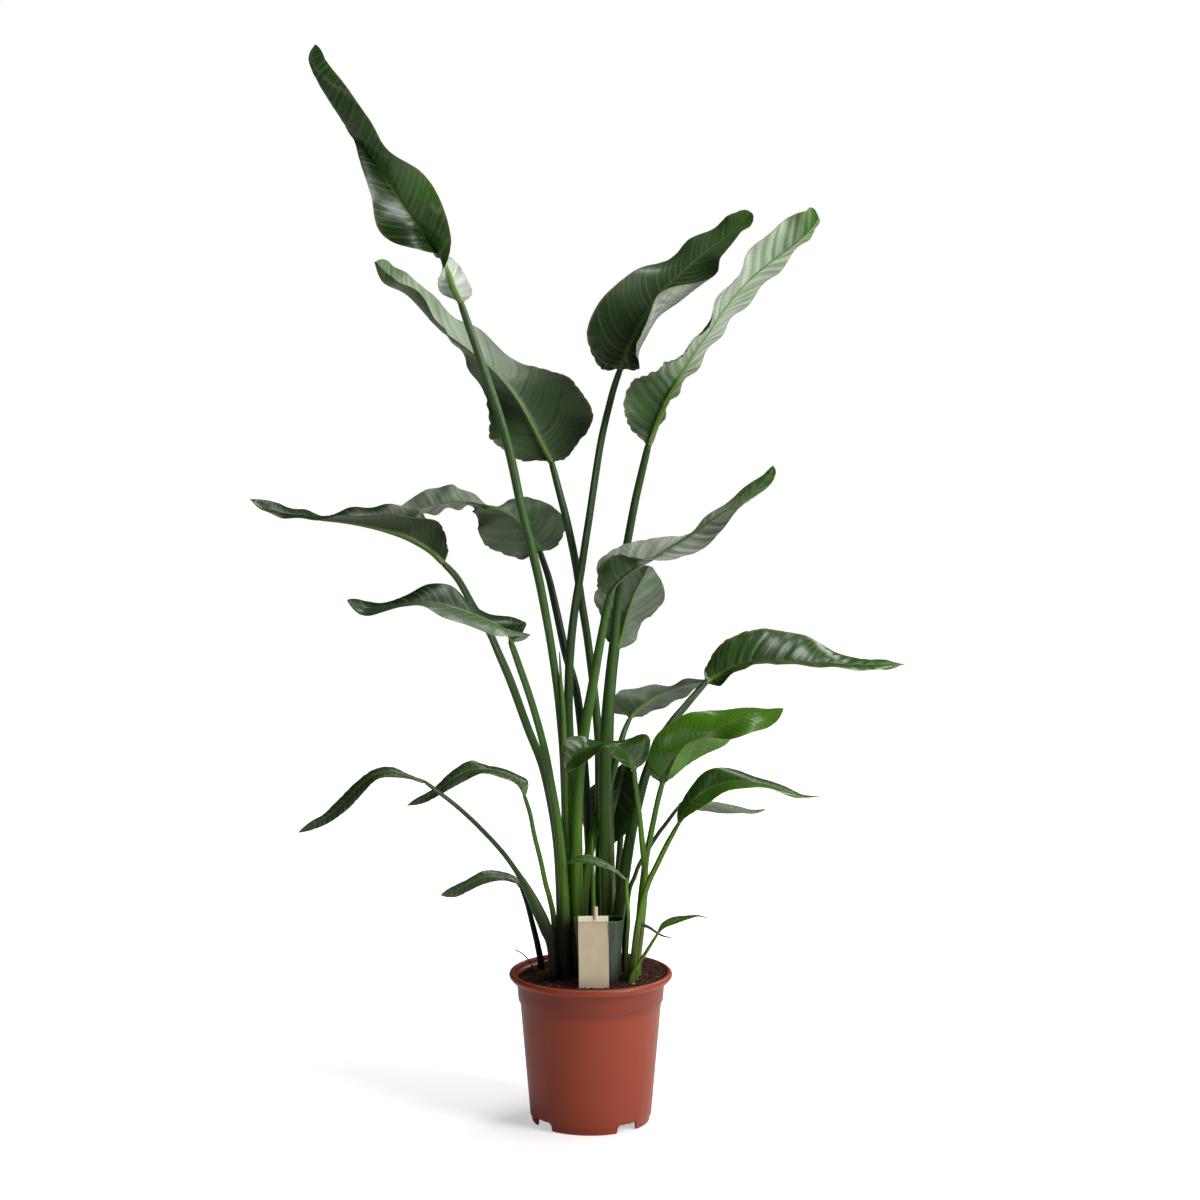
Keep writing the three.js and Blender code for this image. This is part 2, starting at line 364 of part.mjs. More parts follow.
// A stalk: a round loft along its smooth middle line; grow makes the slightly larger copy that cuts its hole
function stalkGeometry(points, grow, topDirection) {
  const middles = points.map(([across, up, depth]) => seen(across, up, depth));
  const radii = points.map((point) => point[3]);
  const sections = Math.round((points.length - 1) * 1.3) + 1;
  const rings = [];
  for (let section = 0; section < sections; section += 1) {
    const part = section / (sections - 1);
    const step = 0.01;
    const tangent = along(middles, part + step).sub(along(middles, part - step)).normalize();
    const isEnd = section === 0 ? -1 : Number(section === sections - 1);
    if (isEnd > 0 && topDirection) tangent.copy(topDirection);
    const side = new THREE.Vector3().crossVectors(TOWARDS_VIEWER, tangent).normalize();
    const front = new THREE.Vector3().crossVectors(tangent, side);
    const centre = along(middles, part);
    centre.addScaledVector(tangent, isEnd * grow);
    const radius = along(radii, part) + grow;
    const ring = [];
    for (let corner = 0; corner < STALK_SIDES; corner += 1) {
      const angle = (2 * Math.PI * (corner + 0.5)) / STALK_SIDES;
      ring.push(centre.clone()
        .addScaledVector(side, radius * Math.cos(angle))
        .addScaledVector(front, radius * Math.sin(angle)));
    }
    rings.push(ring);
  }
  return closedLoft(rings);
}

// How wide a half blade is at a part of its length: a round base, the widest place at two fifths, a long point
function bladeShape(part) {
  return 2.2 * part ** 0.5 * (1 - part) ** 0.65;
}

// The direction in which a blade leaves its stalk
function bladeStart(blade) {
  const ribs = blade.rows.map((row) => seen(row[0], row[1], row[2]));
  return along(ribs, 0.01).sub(ribs[0]).normalize();
}

function bladeGeometry(blade, stalkRadius) {
  const rows = blade.rows.map((row) => (row.length > 3 ? row : [...row, row[0], row[1], 0, row[0], row[1], 0]));
  const ribs = rows.map((row) => seen(row[0], row[1], row[2]));
  const reach = [0];
  for (let index = 1; index < ribs.length; index += 1) {
    reach.push(reach[index - 1] + ribs[index].distanceTo(ribs[index - 1]));
  }
  const length = reach[reach.length - 1];
  const edges = [3, 6].map((column) => rows.map((row, index) => {
    const flat = seen(row[column], row[column + 1], row[2]);
    const width = blade.halfWidth * bladeShape(reach[index] / length);
    const hidden = Math.sqrt(Math.max(width ** 2 - flat.distanceTo(ribs[index]) ** 2, 0));
    return seen(row[column], row[column + 1], row[2] - row[column + 2] * hidden);
  }));
  const bellies = [0, 1].map((hand) => {
    if (!blade.belly || (blade.belly.side === 'left' ? 0 : 1) !== hand) return null;
    return blade.belly.rows.map(([across, up], index) => {
      const between = ribs[index].y * 0.5 + edges[hand][index].y * 0.5;
      return seen(across, up, between);
    });
  });
  const columns = blade.halfWidth < SMALL_BLADE ? SMALL_COLUMNS : BLADE_COLUMNS;
  const stations = Math.max(Math.round(length / 26), rows.length - 1);
  const grid = [];
  for (let station = 0; station <= stations; station += 1) {
    const part = station / stations;
    const rib = along(ribs, part);
    const tangent = along(ribs, part + 0.01).sub(along(ribs, part - 0.01)).normalize();
    grid.push(columns.map((column) => {
      if (column === 0) return rib.clone();
      const hand = column < 0 ? 0 : 1;
      const edge = along(edges[hand], part);
      const span = Math.abs(column);
      const outward = edge.clone().sub(rib);
      let middle;
      if (bellies[hand]) {
        middle = along(bellies[hand], part);
      } else {
        const normal = new THREE.Vector3().crossVectors(outward, tangent).multiplyScalar(hand === 0 ? -1 : 1);
        normal.normalize().multiplyScalar(blade.upper * BLADE_CUP * outward.length());
        middle = rib.clone().addScaledVector(outward, 0.5).add(normal);
      }
      const pull = middle.multiplyScalar(2).sub(rib.clone().add(edge).multiplyScalar(0.5));
      return rib.clone().multiplyScalar((1 - span) ** 2)
        .addScaledVector(pull, 2 * span * (1 - span))
        .addScaledVector(edge, span ** 2);
    }));
  }
  const start = bladeStart(blade);
  grid[0].forEach((point) => {
    const ahead = point.clone().sub(ribs[0]).dot(start);
    point.addScaledVector(start, SEAM_GAP - ahead);
  });
  const normals = gridNormals(grid);
  for (let station = 1; station < stations; station += 1) {
    const part = station / stations;
    columns.forEach((column, index) => {
      const wave = Math.sin(2 * Math.PI * blade.waves * part + (column < 0 ? 0 : 2));
      const lift = blade.ripple * column ** 2 * wave * Math.min(1, 6 * (1 - part));
      grid[station][index].addScaledVector(normals[station][index], lift);
    });
  }
  const keel = Math.min(KEEL_DEPTH * stalkRadius, blade.halfWidth / 6);
  const finalNormals = gridNormals(grid);
  const ribNormal = finalNormals[1][columns.indexOf(0)];
  finalNormals[0].forEach((normal) => normal.copy(ribNormal).addScaledVector(start, -ribNormal.dot(start)).normalize());
  return bladeShell(grid, finalNormals, blade, columns, keel);
}

function gridNormals(grid) {
  return grid.map((row, station) => row.map((point, index) => {
    const ahead = grid[Math.min(station + 1, grid.length - 1)][index];
    const behind = grid[Math.max(station - 1, 0)][index];
    const right = row[Math.min(index + 1, row.length - 1)];
    const left = row[Math.max(index - 1, 0)];
    const across = right.clone().sub(left);
    return across.cross(ahead.clone().sub(behind)).normalize();
  }));
}

// The blade's skin: a ring of points round each cross section, with the midrib standing out underneath
function bladeShell(grid, normals, blade, columns, keelStart) {
  const last = grid.length - 1;
  const width = columns.length;
  const rings = grid.map((row, station) => {
    const part = station / last;
    const keel = keelStart * (1 - part) ** KEEL_TAPER;
    const isTip = station === last;
    const ahead = row[0].clone().sub(grid[Math.max(station - 1, 0)][0]);
    const tipSide = new THREE.Vector3().crossVectors(ahead, normals[station - 1 < 0 ? 0 : station - 1][0]).normalize();
    const place = (index) => {
      if (!isTip) return row[index].clone();
      return row[index].clone().addScaledVector(tipSide, columns[index] * TIP_HALF_WIDTH);
    };
    const normal = (index) => (isTip ? normals[station - 1][index] : normals[station][index]);
    const upper = [];
    const under = [];
    for (let index = 0; index < width; index += 1) {
      const half = (blade.upper * BLADE_THICKNESS) / 2;
      upper.push(place(index).addScaledVector(normal(index), half));
      const depth = columns[index] === 0 ? half + blade.upper * keel : half;
      under.unshift(place(index).addScaledVector(normal(index), -depth));
    }
    return blade.upper > 0 ? [...upper, ...under] : [...upper, ...under].reverse();
  });
  return closedLoft(rings, true);
}

function lathe(profile, sides = POT_SIDES) {
  const geometry = new THREE.LatheGeometry(profile.map(([radius, height]) => new THREE.Vector2(radius, height)), sides);
  return geometry.rotateX(Math.PI / 2);
}

// The nursery pot: a thin tapered wall, a collar band under a rolled lip, a raised floor and four feet
const LIP_UNDER = POT_HEIGHT - LIP_HEIGHT;
const COLLAR_FOOT = LIP_UNDER - COLLAR_HEIGHT;
const FLOOR_UNDER = FLOOR_HEIGHT - FLOOR_THICKNESS;

function potSolid() {
  const shell = toSolid(lathe([
    [0, FLOOR_UNDER],
    [WALL_FOOT_RADIUS - FOOT_WALL, FLOOR_UNDER],
    [WALL_FOOT_RADIUS - FOOT_WALL, 0],
    [WALL_FOOT_RADIUS - FOOT_STEP, 0],
    [WALL_FOOT_RADIUS - FOOT_STEP + 0.4, FOOT_HEIGHT],
    [WALL_FOOT_RADIUS + 1, FOOT_HEIGHT],
    [WALL_TOP_RADIUS, COLLAR_FOOT],
    [COLLAR_RADIUS - COLLAR_TAPER, COLLAR_FOOT + 1.5],
    [COLLAR_RADIUS, LIP_UNDER],
    [LIP_RADIUS - LIP_ROLL, LIP_UNDER],
    [LIP_RADIUS - 1, LIP_UNDER + LIP_ROLL / 2],
    [LIP_RADIUS, LIP_UNDER + LIP_ROLL + 1],
    [LIP_RADIUS - 1, POT_HEIGHT - LIP_ROLL / 2],
    [LIP_RADIUS - LIP_ROLL, POT_HEIGHT],
    [LIP_RADIUS - 2 * LIP_ROLL, POT_HEIGHT - 0.6],
    [COLLAR_RADIUS - WALL_THICKNESS, POT_HEIGHT - LIP_ROLL - 2],
    [COLLAR_RADIUS - COLLAR_TAPER - WALL_THICKNESS, COLLAR_FOOT + 1],
    [WALL_TOP_RADIUS - WALL_THICKNESS, COLLAR_FOOT - 1],
    [WALL_FOOT_RADIUS - WALL_THICKNESS, FLOOR_HEIGHT],
    [0, FLOOR_HEIGHT],
  ]));
  const gapWidth = (2 * Math.PI * WALL_FOOT_RADIUS * FOOT_GAP_DEGREES) / 360;
  const cutDepth = 4 * FOOT_WALL;
  let pot = shell;
  for (let foot = 0; foot < FOOT_COUNT; foot += 1) {
    const turn = ((FOOT_TURN_DEGREES + 45 + (360 * foot) / FOOT_COUNT) * Math.PI) / 180;
    const gap = new THREE.BoxGeometry(cutDepth, gapWidth, 2 * NOTCH_HEIGHT);
    gap.translate(WALL_FOOT_RADIUS, 0, 0).rotateZ(turn);
    pot = pot.subtract(toSolid(gap));
    const drain = new THREE.CylinderGeometry(DRAIN_RADIUS, DRAIN_RADIUS, 3 * FLOOR_THICKNESS, 10).rotateX(Math.PI / 2);
    drain.translate(DRAIN_CIRCLE, 0, FLOOR_HEIGHT).rotateZ(turn);
    pot = pot.subtract(toSolid(drain));
  }
  return pot;
}

// A repeatable number between -1 and 1 for a crumb of soil
function crumb(one, other) {
  const value = Math.sin(one * 12.9898 + other * 78.233) * 43758.5453;
  return 2 * (value - Math.floor(value)) - 1;
}

// The soil: low on the left, heaped against the lip on the right, with broad swells and crumbs
function soilHeight(x, y, grain) {
  const broad = Math.sin(x / 23 + 1) * Math.cos(y / 19);
  const narrow = Math.sin((x + y) / 11);
  return SOIL_TOP + SOIL_SLOPE * x + SOIL_RELIEF * (0.5 * broad + 0.3 * narrow + 0.5 * grain);
}

function soilSolid() {
  const innerWall = (height) => {
    const rise = (height - FLOOR_HEIGHT) / (COLLAR_FOOT - FLOOR_HEIGHT);
    return THREE.MathUtils.lerp(WALL_FOOT_RADIUS, WALL_TOP_RADIUS, rise) - WALL_THICKNESS - SOIL_GAP;
  };
  const ring = (radius, height) => Array.from({ length: SOIL_SIDES }, (_, side) => {
    const angle = (2 * Math.PI * side) / SOIL_SIDES;
    const x = radius * Math.cos(angle);
    const y = radius * Math.sin(angle);
    return new THREE.Vector3(x, y, height ?? soilHeight(x, y, crumb(side, radius)));
  });
  const bottom = FLOOR_HEIGHT + SOIL_GAP / 2;
  const insideCollar = COLLAR_RADIUS - COLLAR_TAPER - WALL_THICKNESS - SOIL_GAP;
  return toSolid(closedLoft([
    ring(SOIL_RINGS[3], bottom),
    ring(innerWall(FLOOR_HEIGHT), bottom),
    ring(innerWall(COLLAR_FOOT - 4), COLLAR_FOOT - 4),
    ring(insideCollar, COLLAR_FOOT + 4),
    ring(insideCollar),
    ...SOIL_RINGS.map((radius) => ring(radius)),
  ]));
}

// The old outer sheath, cut off level: a thin open cup that narrows into the soil behind the label
const OLD_SHEATH = { across: 12, depth: -64, width: 36, thickness: 22, top: 314, waist: 260, foot: 178, floor: 226, wall: 1.2 };
const SHEATH_SIDES = 24;
const SHEATH_FOOT_SHARE = 0.7;
const SHEATH_WAIST_SHARE = 0.85;

function oldSheathSolid(grow) {
  const { across, depth, width, thickness, top, waist, foot, floor, wall } = OLD_SHEATH;
  const ring = (share, height, inset) => Array.from({ length: SHEATH_SIDES }, (_, side) => {
    const angle = (2 * Math.PI * side) / SHEATH_SIDES;
    return new THREE.Vector3(
      across + (width * share - inset + grow) * Math.cos(angle),
      depth + (thickness * share - inset + grow) * Math.sin(angle),
      height,
    );
  });
  const outside = toSolid(closedLoft([
    ring(SHEATH_FOOT_SHARE, foot - grow, 0), ring(SHEATH_WAIST_SHARE, waist, 0), ring(1, top, 0),
  ]));
  if (grow > 0) return outside;
  const over = 2;
  const inside = toSolid(closedLoft([
    ring(SHEATH_FOOT_SHARE, floor, wall), ring(SHEATH_WAIST_SHARE, waist + over, wall), ring(1, top + over, wall),
  ]));
  return outside.subtract(inside);
}

// The plant label: a tall card folded over at its top, pushed a little way into the soil close to the lip
const LABEL = { width: 43, height: 121, thickness: 0.8, across: 5.4, depth: -97, foot: 205, fold: 8, turn: -0.012 };

function labelGeometry() {
  const { thickness, height, fold } = LABEL;
  const front = 3.2 * thickness;
  const shape = new THREE.Shape([
    [0, 0], [thickness, 0], [thickness, height - 2.5 * thickness], [1.8 * thickness, height - 2 * thickness],
    [2.2 * thickness, height - fold], [front, height - fold], [front, height - thickness],
    [2 * thickness, height], [thickness / 2, height], [0, height - thickness],
  ].map(([x, y]) => new THREE.Vector2(x, y)));
  const geometry = new THREE.ExtrudeGeometry(shape, { depth: LABEL.width, bevelEnabled: false });
  geometry.rotateX(Math.PI / 2).rotateZ(-Math.PI / 2);
  geometry.translate(LABEL.width / 2, 0, 0).rotateY(LABEL.turn);
  return geometry.translate(LABEL.across, LABEL.depth, LABEL.foot);
}

// The peg: a short round stick, split from below, that grips the fold of the label
const PEG = { radius: 3.4, height: 19, across: 7.4, foot: 320.5, slot: 3, grip: 6.5 };

function pegSolid() {
  const stick = new THREE.CylinderGeometry(PEG.radius - 0.3, PEG.radius, PEG.height, 12).rotateX(Math.PI / 2);
  stick.translate(0, 0, PEG.height / 2);
  const slot = new THREE.BoxGeometry(4 * PEG.radius, PEG.slot, 2 * PEG.grip);
  const middle = LABEL.depth - 1.6 * LABEL.thickness;
  return toSolid(stick).subtract(toSolid(slot)).translate([PEG.across, middle, PEG.foot]);
}

// Two rolled young leaves, the dry leaf sliver and the dry root: across, up, depth and half width
const SLIMS = {
  young_leaf: [[-32.5, 395, -11, 3], [-34, 430, -11, 4.6], [-36, 500, -11, 5], [-38, 560, -11, 4.2], [-40, 610, -11, 3.4],
    [-43, 655, -11, 2.2], [-45, 692, -10, 0.9]],
  young_shoot: [[4, 152, -40, 3.6], [4, 260, -40, 3.6], [4, 330, -38, 3], [3, 380, -36, 2.2], [2, 420, -35, 0.8]],
  dry_sliver: [[73, 290, -55.9, 2.2], [79, 289, -57, 2.4], [87, 285, -59, 2.2], [97, 278, -61, 1.8], [107, 273, -63, 1.2],
    [118, 271, -65, 0.6]],
  dry_root: [[-80, 206, 38, 1.2], [-84, 224, 38, 1.2], [-90, 236, 38, 1.1], [-100, 247, 38, 0.9], [-111, 253, 38, 0.8]],
};

addMesh('pot', toGeometry(potSolid()), paint.pot);

// Each stalk and rolled leaf is kept once more, a little larger, to cut its hole in the soil
const grownStalks = [];

function placeStalk(name, points, material, topDirection) {
  addMesh(name, toGeometry(toSolid(stalkGeometry(points, 0, topDirection))), material);
  const grown = stalkGeometry(points, HOLE_GAP, topDirection);
  grown.computeBoundingBox();
  if (grown.boundingBox.min.z < SOIL_TOP + SOIL_MARGIN) grownStalks.push(toSolid(grown));
}

for (const [name, points] of Object.entries(STALKS)) {
  placeStalk(`stalk_${name}`, points, paint.stalk, bladeStart(BLADES[name]));
}
for (const [name, points] of Object.entries(SLIMS)) {
  placeStalk(name, points, name.startsWith('dry') ? paint.dry : paint.stalk);
}

for (const [name, blade] of Object.entries(BLADES)) {
  addMesh(`blade_${name}`, bladeGeometry(blade, STALKS[name].at(-1)[3]), paint.blade);
}

addMesh('old_sheath', toGeometry(oldSheathSolid(0)), paint.stalk);
addMesh('label', labelGeometry(), paint.card);
addMesh('peg', toGeometry(pegSolid()), paint.wood);

// The soil has a plain hole for each stem and for the old sheath and the label
const LABEL_HOLE = { width: LABEL.width + 1, depth: 2.6, height: 30 };
let soil = soilSolid();
for (const grown of grownStalks) soil = soil.subtract(grown);
soil = soil.subtract(oldSheathSolid(HOLE_GAP));
const labelHole = new THREE.BoxGeometry(LABEL_HOLE.width, LABEL_HOLE.depth, LABEL_HOLE.height);
labelHole.translate(LABEL.across, LABEL.depth - LABEL.thickness / 2, LABEL.foot - HOLE_GAP + LABEL_HOLE.height / 2);
soil = soil.subtract(toSolid(labelHole));
addMesh('soil', toGeometry(largestBody(soil)), paint.soil);

export default plant;
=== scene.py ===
# A giant white bird of paradise in a nursery pot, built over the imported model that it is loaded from.
import math

import bpy
import numpy as np
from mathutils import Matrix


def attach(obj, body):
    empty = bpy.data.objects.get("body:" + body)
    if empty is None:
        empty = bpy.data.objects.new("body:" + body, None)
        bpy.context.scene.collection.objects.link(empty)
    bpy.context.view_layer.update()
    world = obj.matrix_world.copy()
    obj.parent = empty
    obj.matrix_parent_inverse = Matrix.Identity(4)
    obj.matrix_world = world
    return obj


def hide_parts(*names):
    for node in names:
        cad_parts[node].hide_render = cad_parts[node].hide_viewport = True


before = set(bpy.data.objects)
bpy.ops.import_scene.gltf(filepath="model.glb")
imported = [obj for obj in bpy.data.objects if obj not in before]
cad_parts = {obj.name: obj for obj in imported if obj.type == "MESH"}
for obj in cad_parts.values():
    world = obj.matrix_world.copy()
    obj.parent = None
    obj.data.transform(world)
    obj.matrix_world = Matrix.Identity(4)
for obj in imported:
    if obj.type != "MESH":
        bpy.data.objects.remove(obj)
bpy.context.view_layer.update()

# Camera
# The photograph is a long-lens front view from a little above the middle of the plant.
# Its place and lens were found from the ellipses of the lip, the collar and the feet.
MM = 0.001
EYE = np.array([13.6, -3728.0, 1169.0])
PHOTO_SIDE_PIXELS = 1200
PHOTO_FOCAL_PIXELS = 2600
CAMERA_TILT_DEGREES = 6.147
SENSOR_WIDTH = 36

camera_data = bpy.data.cameras.new("photo_view")
camera_data.sensor_width = SENSOR_WIDTH
camera_data.lens = SENSOR_WIDTH * PHOTO_FOCAL_PIXELS / PHOTO_SIDE_PIXELS
camera_data.clip_end = 100
camera = bpy.data.objects.new("photo_view", camera_data)
camera.location = EYE * MM
camera.rotation_euler = (math.radians(90 - CAMERA_TILT_DEGREES), 0, 0)
bpy.context.scene.collection.objects.link(camera)
bpy.context.scene.camera = camera

# Studio light
# White surroundings that are dimmer on the left, behind and in front, a broad soft light high on the right,
# one over the plant, a weak narrow one on the left for the highlights and one behind on the right.
bpy.context.scene.view_settings.view_transform = "Standard"
FILL_STRENGTH = 0.095
REFLECTED_STRENGTH = 0.07
BACKDROP_STRENGTH = 1.0
LEFT_SHARE = 0.12
RIGHT_SHARE = 1.35
FRONT_SHARE = 0.45
MIDDLE_SHARE = 1.15
BACK_SHARE = 0.4
LEFT_TO_RIGHT = (-0.8, 0.7)
FRONT_TO_MIDDLE = (-0.95, -0.4)
MIDDLE_TO_BACK = (-0.1, 0.7)
PLANT_MIDDLE = (0, 0, 0.8)
SOFT_LIGHTS = {
    "light_right": {"place": (2.5, -1.7, 2.1), "size": (1.3, 2.4), "power": 104},
    "light_left": {"place": (-1.7, -2.5, 1.9), "size": (0.35, 1.6), "power": 5},
    "light_over": {"place": (0.6, 0.3, 3.4), "size": (1.6, 1.4), "power": 48},
    "light_back": {"place": (1.9, 1.9, 2.4), "size": (1.0, 1.8), "power": 28},
}


def add_node(tree, kind, inputs=None, **settings):
    """A shader node; an input is a value or another node's output."""
    node = tree.nodes.new("ShaderNode" + kind)
    for name, value in settings.items():
        setattr(node, name, value)
    for socket, value in (inputs or {}).items():
        if isinstance(value, bpy.types.NodeSocket):
            tree.links.new(value, node.inputs[socket])
        else:
            node.inputs[socket].default_value = value
    return node


def calculate(tree, operation, first, second=0.0, third=0.0):
    """One arithmetic step between numbers or sockets."""
    return add_node(tree, "Math", {0: first, 1: second, 2: third}, operation=operation).outputs["Value"]


def times(tree, first, second):
    """The product of two numbers or sockets."""
    return calculate(tree, "MULTIPLY", first, second)


def ease(tree, value, low, high, to_low=0.0, to_high=1.0):
    """A value eased from one range into another."""
    return add_node(tree, "MapRange", {
        "Value": value, "From Min": low, "From Max": high, "To Min": to_low, "To Max": to_high,
    }, interpolation_type="SMOOTHSTEP").outputs["Result"]


def mix_value(tree, part, first, second):
    """Two numbers mixed; each is a number or a socket."""
    return add_node(tree, "Mix", {"Factor": part, "A": first, "B": second}).outputs["Result"]


world = bpy.data.worlds.new("white_studio")
world.use_nodes = True
world_tree = world.node_tree
world_tree.nodes.clear()
sky_ray = add_node(world_tree, "LightPath").outputs
sky_place = add_node(world_tree, "TexCoord").outputs["Generated"]
sky_way = add_node(world_tree, "SeparateXYZ", {"Vector": sky_place}).outputs
sky_light = mix_value(world_tree, sky_ray["Is Glossy Ray"], FILL_STRENGTH, REFLECTED_STRENGTH)
for way, span, low_share, high_share in (
    ("X", LEFT_TO_RIGHT, LEFT_SHARE, RIGHT_SHARE),
    ("Y", MIDDLE_TO_BACK, MIDDLE_SHARE, BACK_SHARE),
    ("Y", FRONT_TO_MIDDLE, FRONT_SHARE, 1.0),
):
    sky_light = times(world_tree, sky_light, ease(world_tree, sky_way[way], *span, low_share, high_share))
sky_shown = mix_value(world_tree, sky_ray["Is Camera Ray"], sky_light, BACKDROP_STRENGTH)
surround = add_node(world_tree, "Background", {"Color": (1, 1, 1, 1), "Strength": sky_shown})
add_node(world_tree, "OutputWorld", {"Surface": surround.outputs["Background"]})
bpy.context.scene.world = world

for light_name, light in SOFT_LIGHTS.items():
    lamp = bpy.data.lights.new(light_name, "AREA")
    lamp.shape = "RECTANGLE"
    lamp.size, lamp.size_y = light["size"]
    lamp.energy = light["power"]
    holder = bpy.data.objects.new(light_name, lamp)
    holder.location = light["place"]
    towards = np.array(PLANT_MIDDLE) - np.array(light["place"])
    azimuth = math.atan2(towards[0], -towards[1])
    fall = math.atan2(-towards[2], math.hypot(towards[0], towards[1]))
    holder.rotation_euler = (math.pi / 2 - fall, 0, azimuth + math.pi)
    bpy.context.scene.collection.objects.link(holder)

# Floor
# A smooth white studio floor. It glows, more the further it lies from the pot, so that it runs into the
# white surroundings without a line; the glow is also seen in gloss, but lights nothing.
FLOOR_RADIUS = 14
FLOOR_SIDES = 96
GLOW_NEAR = 0.3
GLOW_FAR = 1.6
GLOW_LOW = 0.5
GLOW_HIGH = 1.0
GLOW_IN_GLOSS = 0.12
FLOOR_CLOUD_SCALE = 2.5
FLOOR_TONES = (0.86, 0.9)
FLOOR_ROUGHNESS = 0.6


def linear(red, green, blue):
    """A colour given as 0 to 255 on the screen, as the linear colour that a shader takes."""
    parts = [part / 255 for part in (red, green, blue)]
    return (*[part / 12.92 if part <= 0.04045 else ((part + 0.055) / 1.055) ** 2.4 for part in parts], 1)


def new_material(name):
    """An empty material with its own node tree."""
    material = bpy.data.materials.new(name)
    material.use_nodes = True
    material.node_tree.nodes.clear()
    return material, material.node_tree


def finish_material(tree, colour, roughness, normal=None, **constants):
    """Gives the material its surface shader; the constants go on the shader's own sockets."""
    shader = add_node(tree, "BsdfPrincipled", {"Base Color": colour, "Roughness": roughness})
    for socket, value in constants.items():
        shader.inputs[socket.replace("_", " ").title().replace("Ior", "IOR")].default_value = value
    if normal is not None:
        tree.links.new(normal, shader.inputs["Normal"])
    add_node(tree, "OutputMaterial", {"Surface": shader.outputs["BSDF"]})
    return shader


floor_material, floor_tree = new_material("white_floor")
floor_place = add_node(floor_tree, "TexCoord").outputs["Object"]
floor_distance = add_node(floor_tree, "VectorMath", {0: floor_place}, operation="LENGTH").outputs["Value"]
floor_glow = ease(floor_tree, floor_distance, GLOW_NEAR, GLOW_FAR, GLOW_LOW, GLOW_HIGH)
floor_ray = add_node(floor_tree, "LightPath").outputs
floor_gloss = times(floor_tree, floor_ray["Is Glossy Ray"], GLOW_IN_GLOSS)
floor_seen = calculate(floor_tree, "MAXIMUM", floor_ray["Is Camera Ray"], floor_gloss)
floor_cloud = add_node(floor_tree, "TexNoise", {"Vector": floor_place, "Scale": FLOOR_CLOUD_SCALE}).outputs
floor_tone = add_node(floor_tree, "MapRange", {
    "Value": floor_cloud["Fac"], "To Min": FLOOR_TONES[0], "To Max": FLOOR_TONES[1],
}).outputs["Result"]
floor_grey = add_node(floor_tree, "CombineColor", {0: floor_tone, 1: floor_tone, 2: floor_tone}).outputs
floor_shader = finish_material(floor_tree, floor_grey["Color"], FLOOR_ROUGHNESS, emission_color=(1, 1, 1, 1))
floor_tree.links.new(times(floor_tree, floor_glow, floor_seen), floor_shader.inputs["Emission Strength"])

floor_turns = np.linspace(0, 2 * math.pi, FLOOR_SIDES, endpoint=False)
floor_mesh = bpy.data.meshes.new("floor")
floor_mesh.from_pydata(
    [(FLOOR_RADIUS * math.cos(turn), FLOOR_RADIUS * math.sin(turn), 0) for turn in floor_turns],
    [], [range(FLOOR_SIDES)],
)
floor_mesh.materials.append(floor_material)
floor = bpy.data.objects.new("floor", floor_mesh)
bpy.context.scene.collection.objects.link(floor)

# Pot
# An injection-moulded nursery pot of thin terracotta-coloured plastic, tapered to stack. A collar band
# stiffens it under a rolled lip, and the wall runs on below the raised floor as four feet.
POT_HEIGHT = 222
LIP_RADIUS = 120
LIP_HEIGHT = 11
LIP_ROLL = 4
LIP_UNDERCUT = 0.6
COLLAR_RADIUS = 108.5
COLLAR_HEIGHT = 32
COLLAR_TAPER = 2.5
COLLAR_ROUND = 1.4
WALL_TOP_RADIUS = 103.5
WALL_FOOT_RADIUS = 88
WALL_THICKNESS = 2.2
FLOOR_HEIGHT = 16
FLOOR_THICKNESS = 2.5
FOOT_HEIGHT = 9
FOOT_STEP = 1.5
FOOT_WALL = 4
FOOT_ROUND = 1.6
FOOT_COUNT = 4
FOOT_GAP_DEGREES = 22
FOOT_TURN_DEGREES = -7
FOOT_CORNER = 4.5
NOTCH_HEIGHT = 13
DRAIN_RADIUS = 7
DRAIN_CIRCLE = 55
DRAIN_SIDES = 32
EDGE_WIDTH = 0.35
POT_SIDES = 192
LIP_UNDER = POT_HEIGHT - LIP_HEIGHT
COLLAR_FOOT = LIP_UNDER - COLLAR_HEIGHT


def make_piece(name, points, faces, material, slot_name, stands_for, sharp_degrees=40):
    """A closed mesh in place of one of the model's nodes; its points are in millimetres."""
    points = np.asarray(points, float)
    volume = sum(
        (np.cross(points[group[:, 0]], points[group[:, step]]) * points[group[:, step + 1]]).sum()
        for group in faces for step in range(1, group.shape[1] - 1)
    )
    if volume < 0:
        faces = [group[:, ::-1] for group in faces]
    corners = np.concatenate([group.ravel() for group in faces]).astype(np.int32)
    sizes = np.concatenate([np.full(len(group), group.shape[1]) for group in faces])
    mesh = bpy.data.meshes.new(name)
    mesh.vertices.add(len(points))
    mesh.vertices.foreach_set("co", (points * MM).ravel())
    mesh.loops.add(len(corners))
    mesh.loops.foreach_set("vertex_index", corners)
    mesh.polygons.add(len(sizes))
    mesh.polygons.foreach_set("loop_start", (np.cumsum(sizes) - sizes).astype(np.int32))
    mesh.update(calc_edges=True)
    mesh.validate()
    mesh.shade_smooth()
    mesh.set_sharp_from_angle(angle=math.radians(sharp_degrees))
    mesh.materials.append(material)
    piece = bpy.data.objects.new(name, mesh)
    bpy.context.scene.collection.objects.link(piece)
    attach(piece, "root")
    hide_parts(stands_for)
    return piece


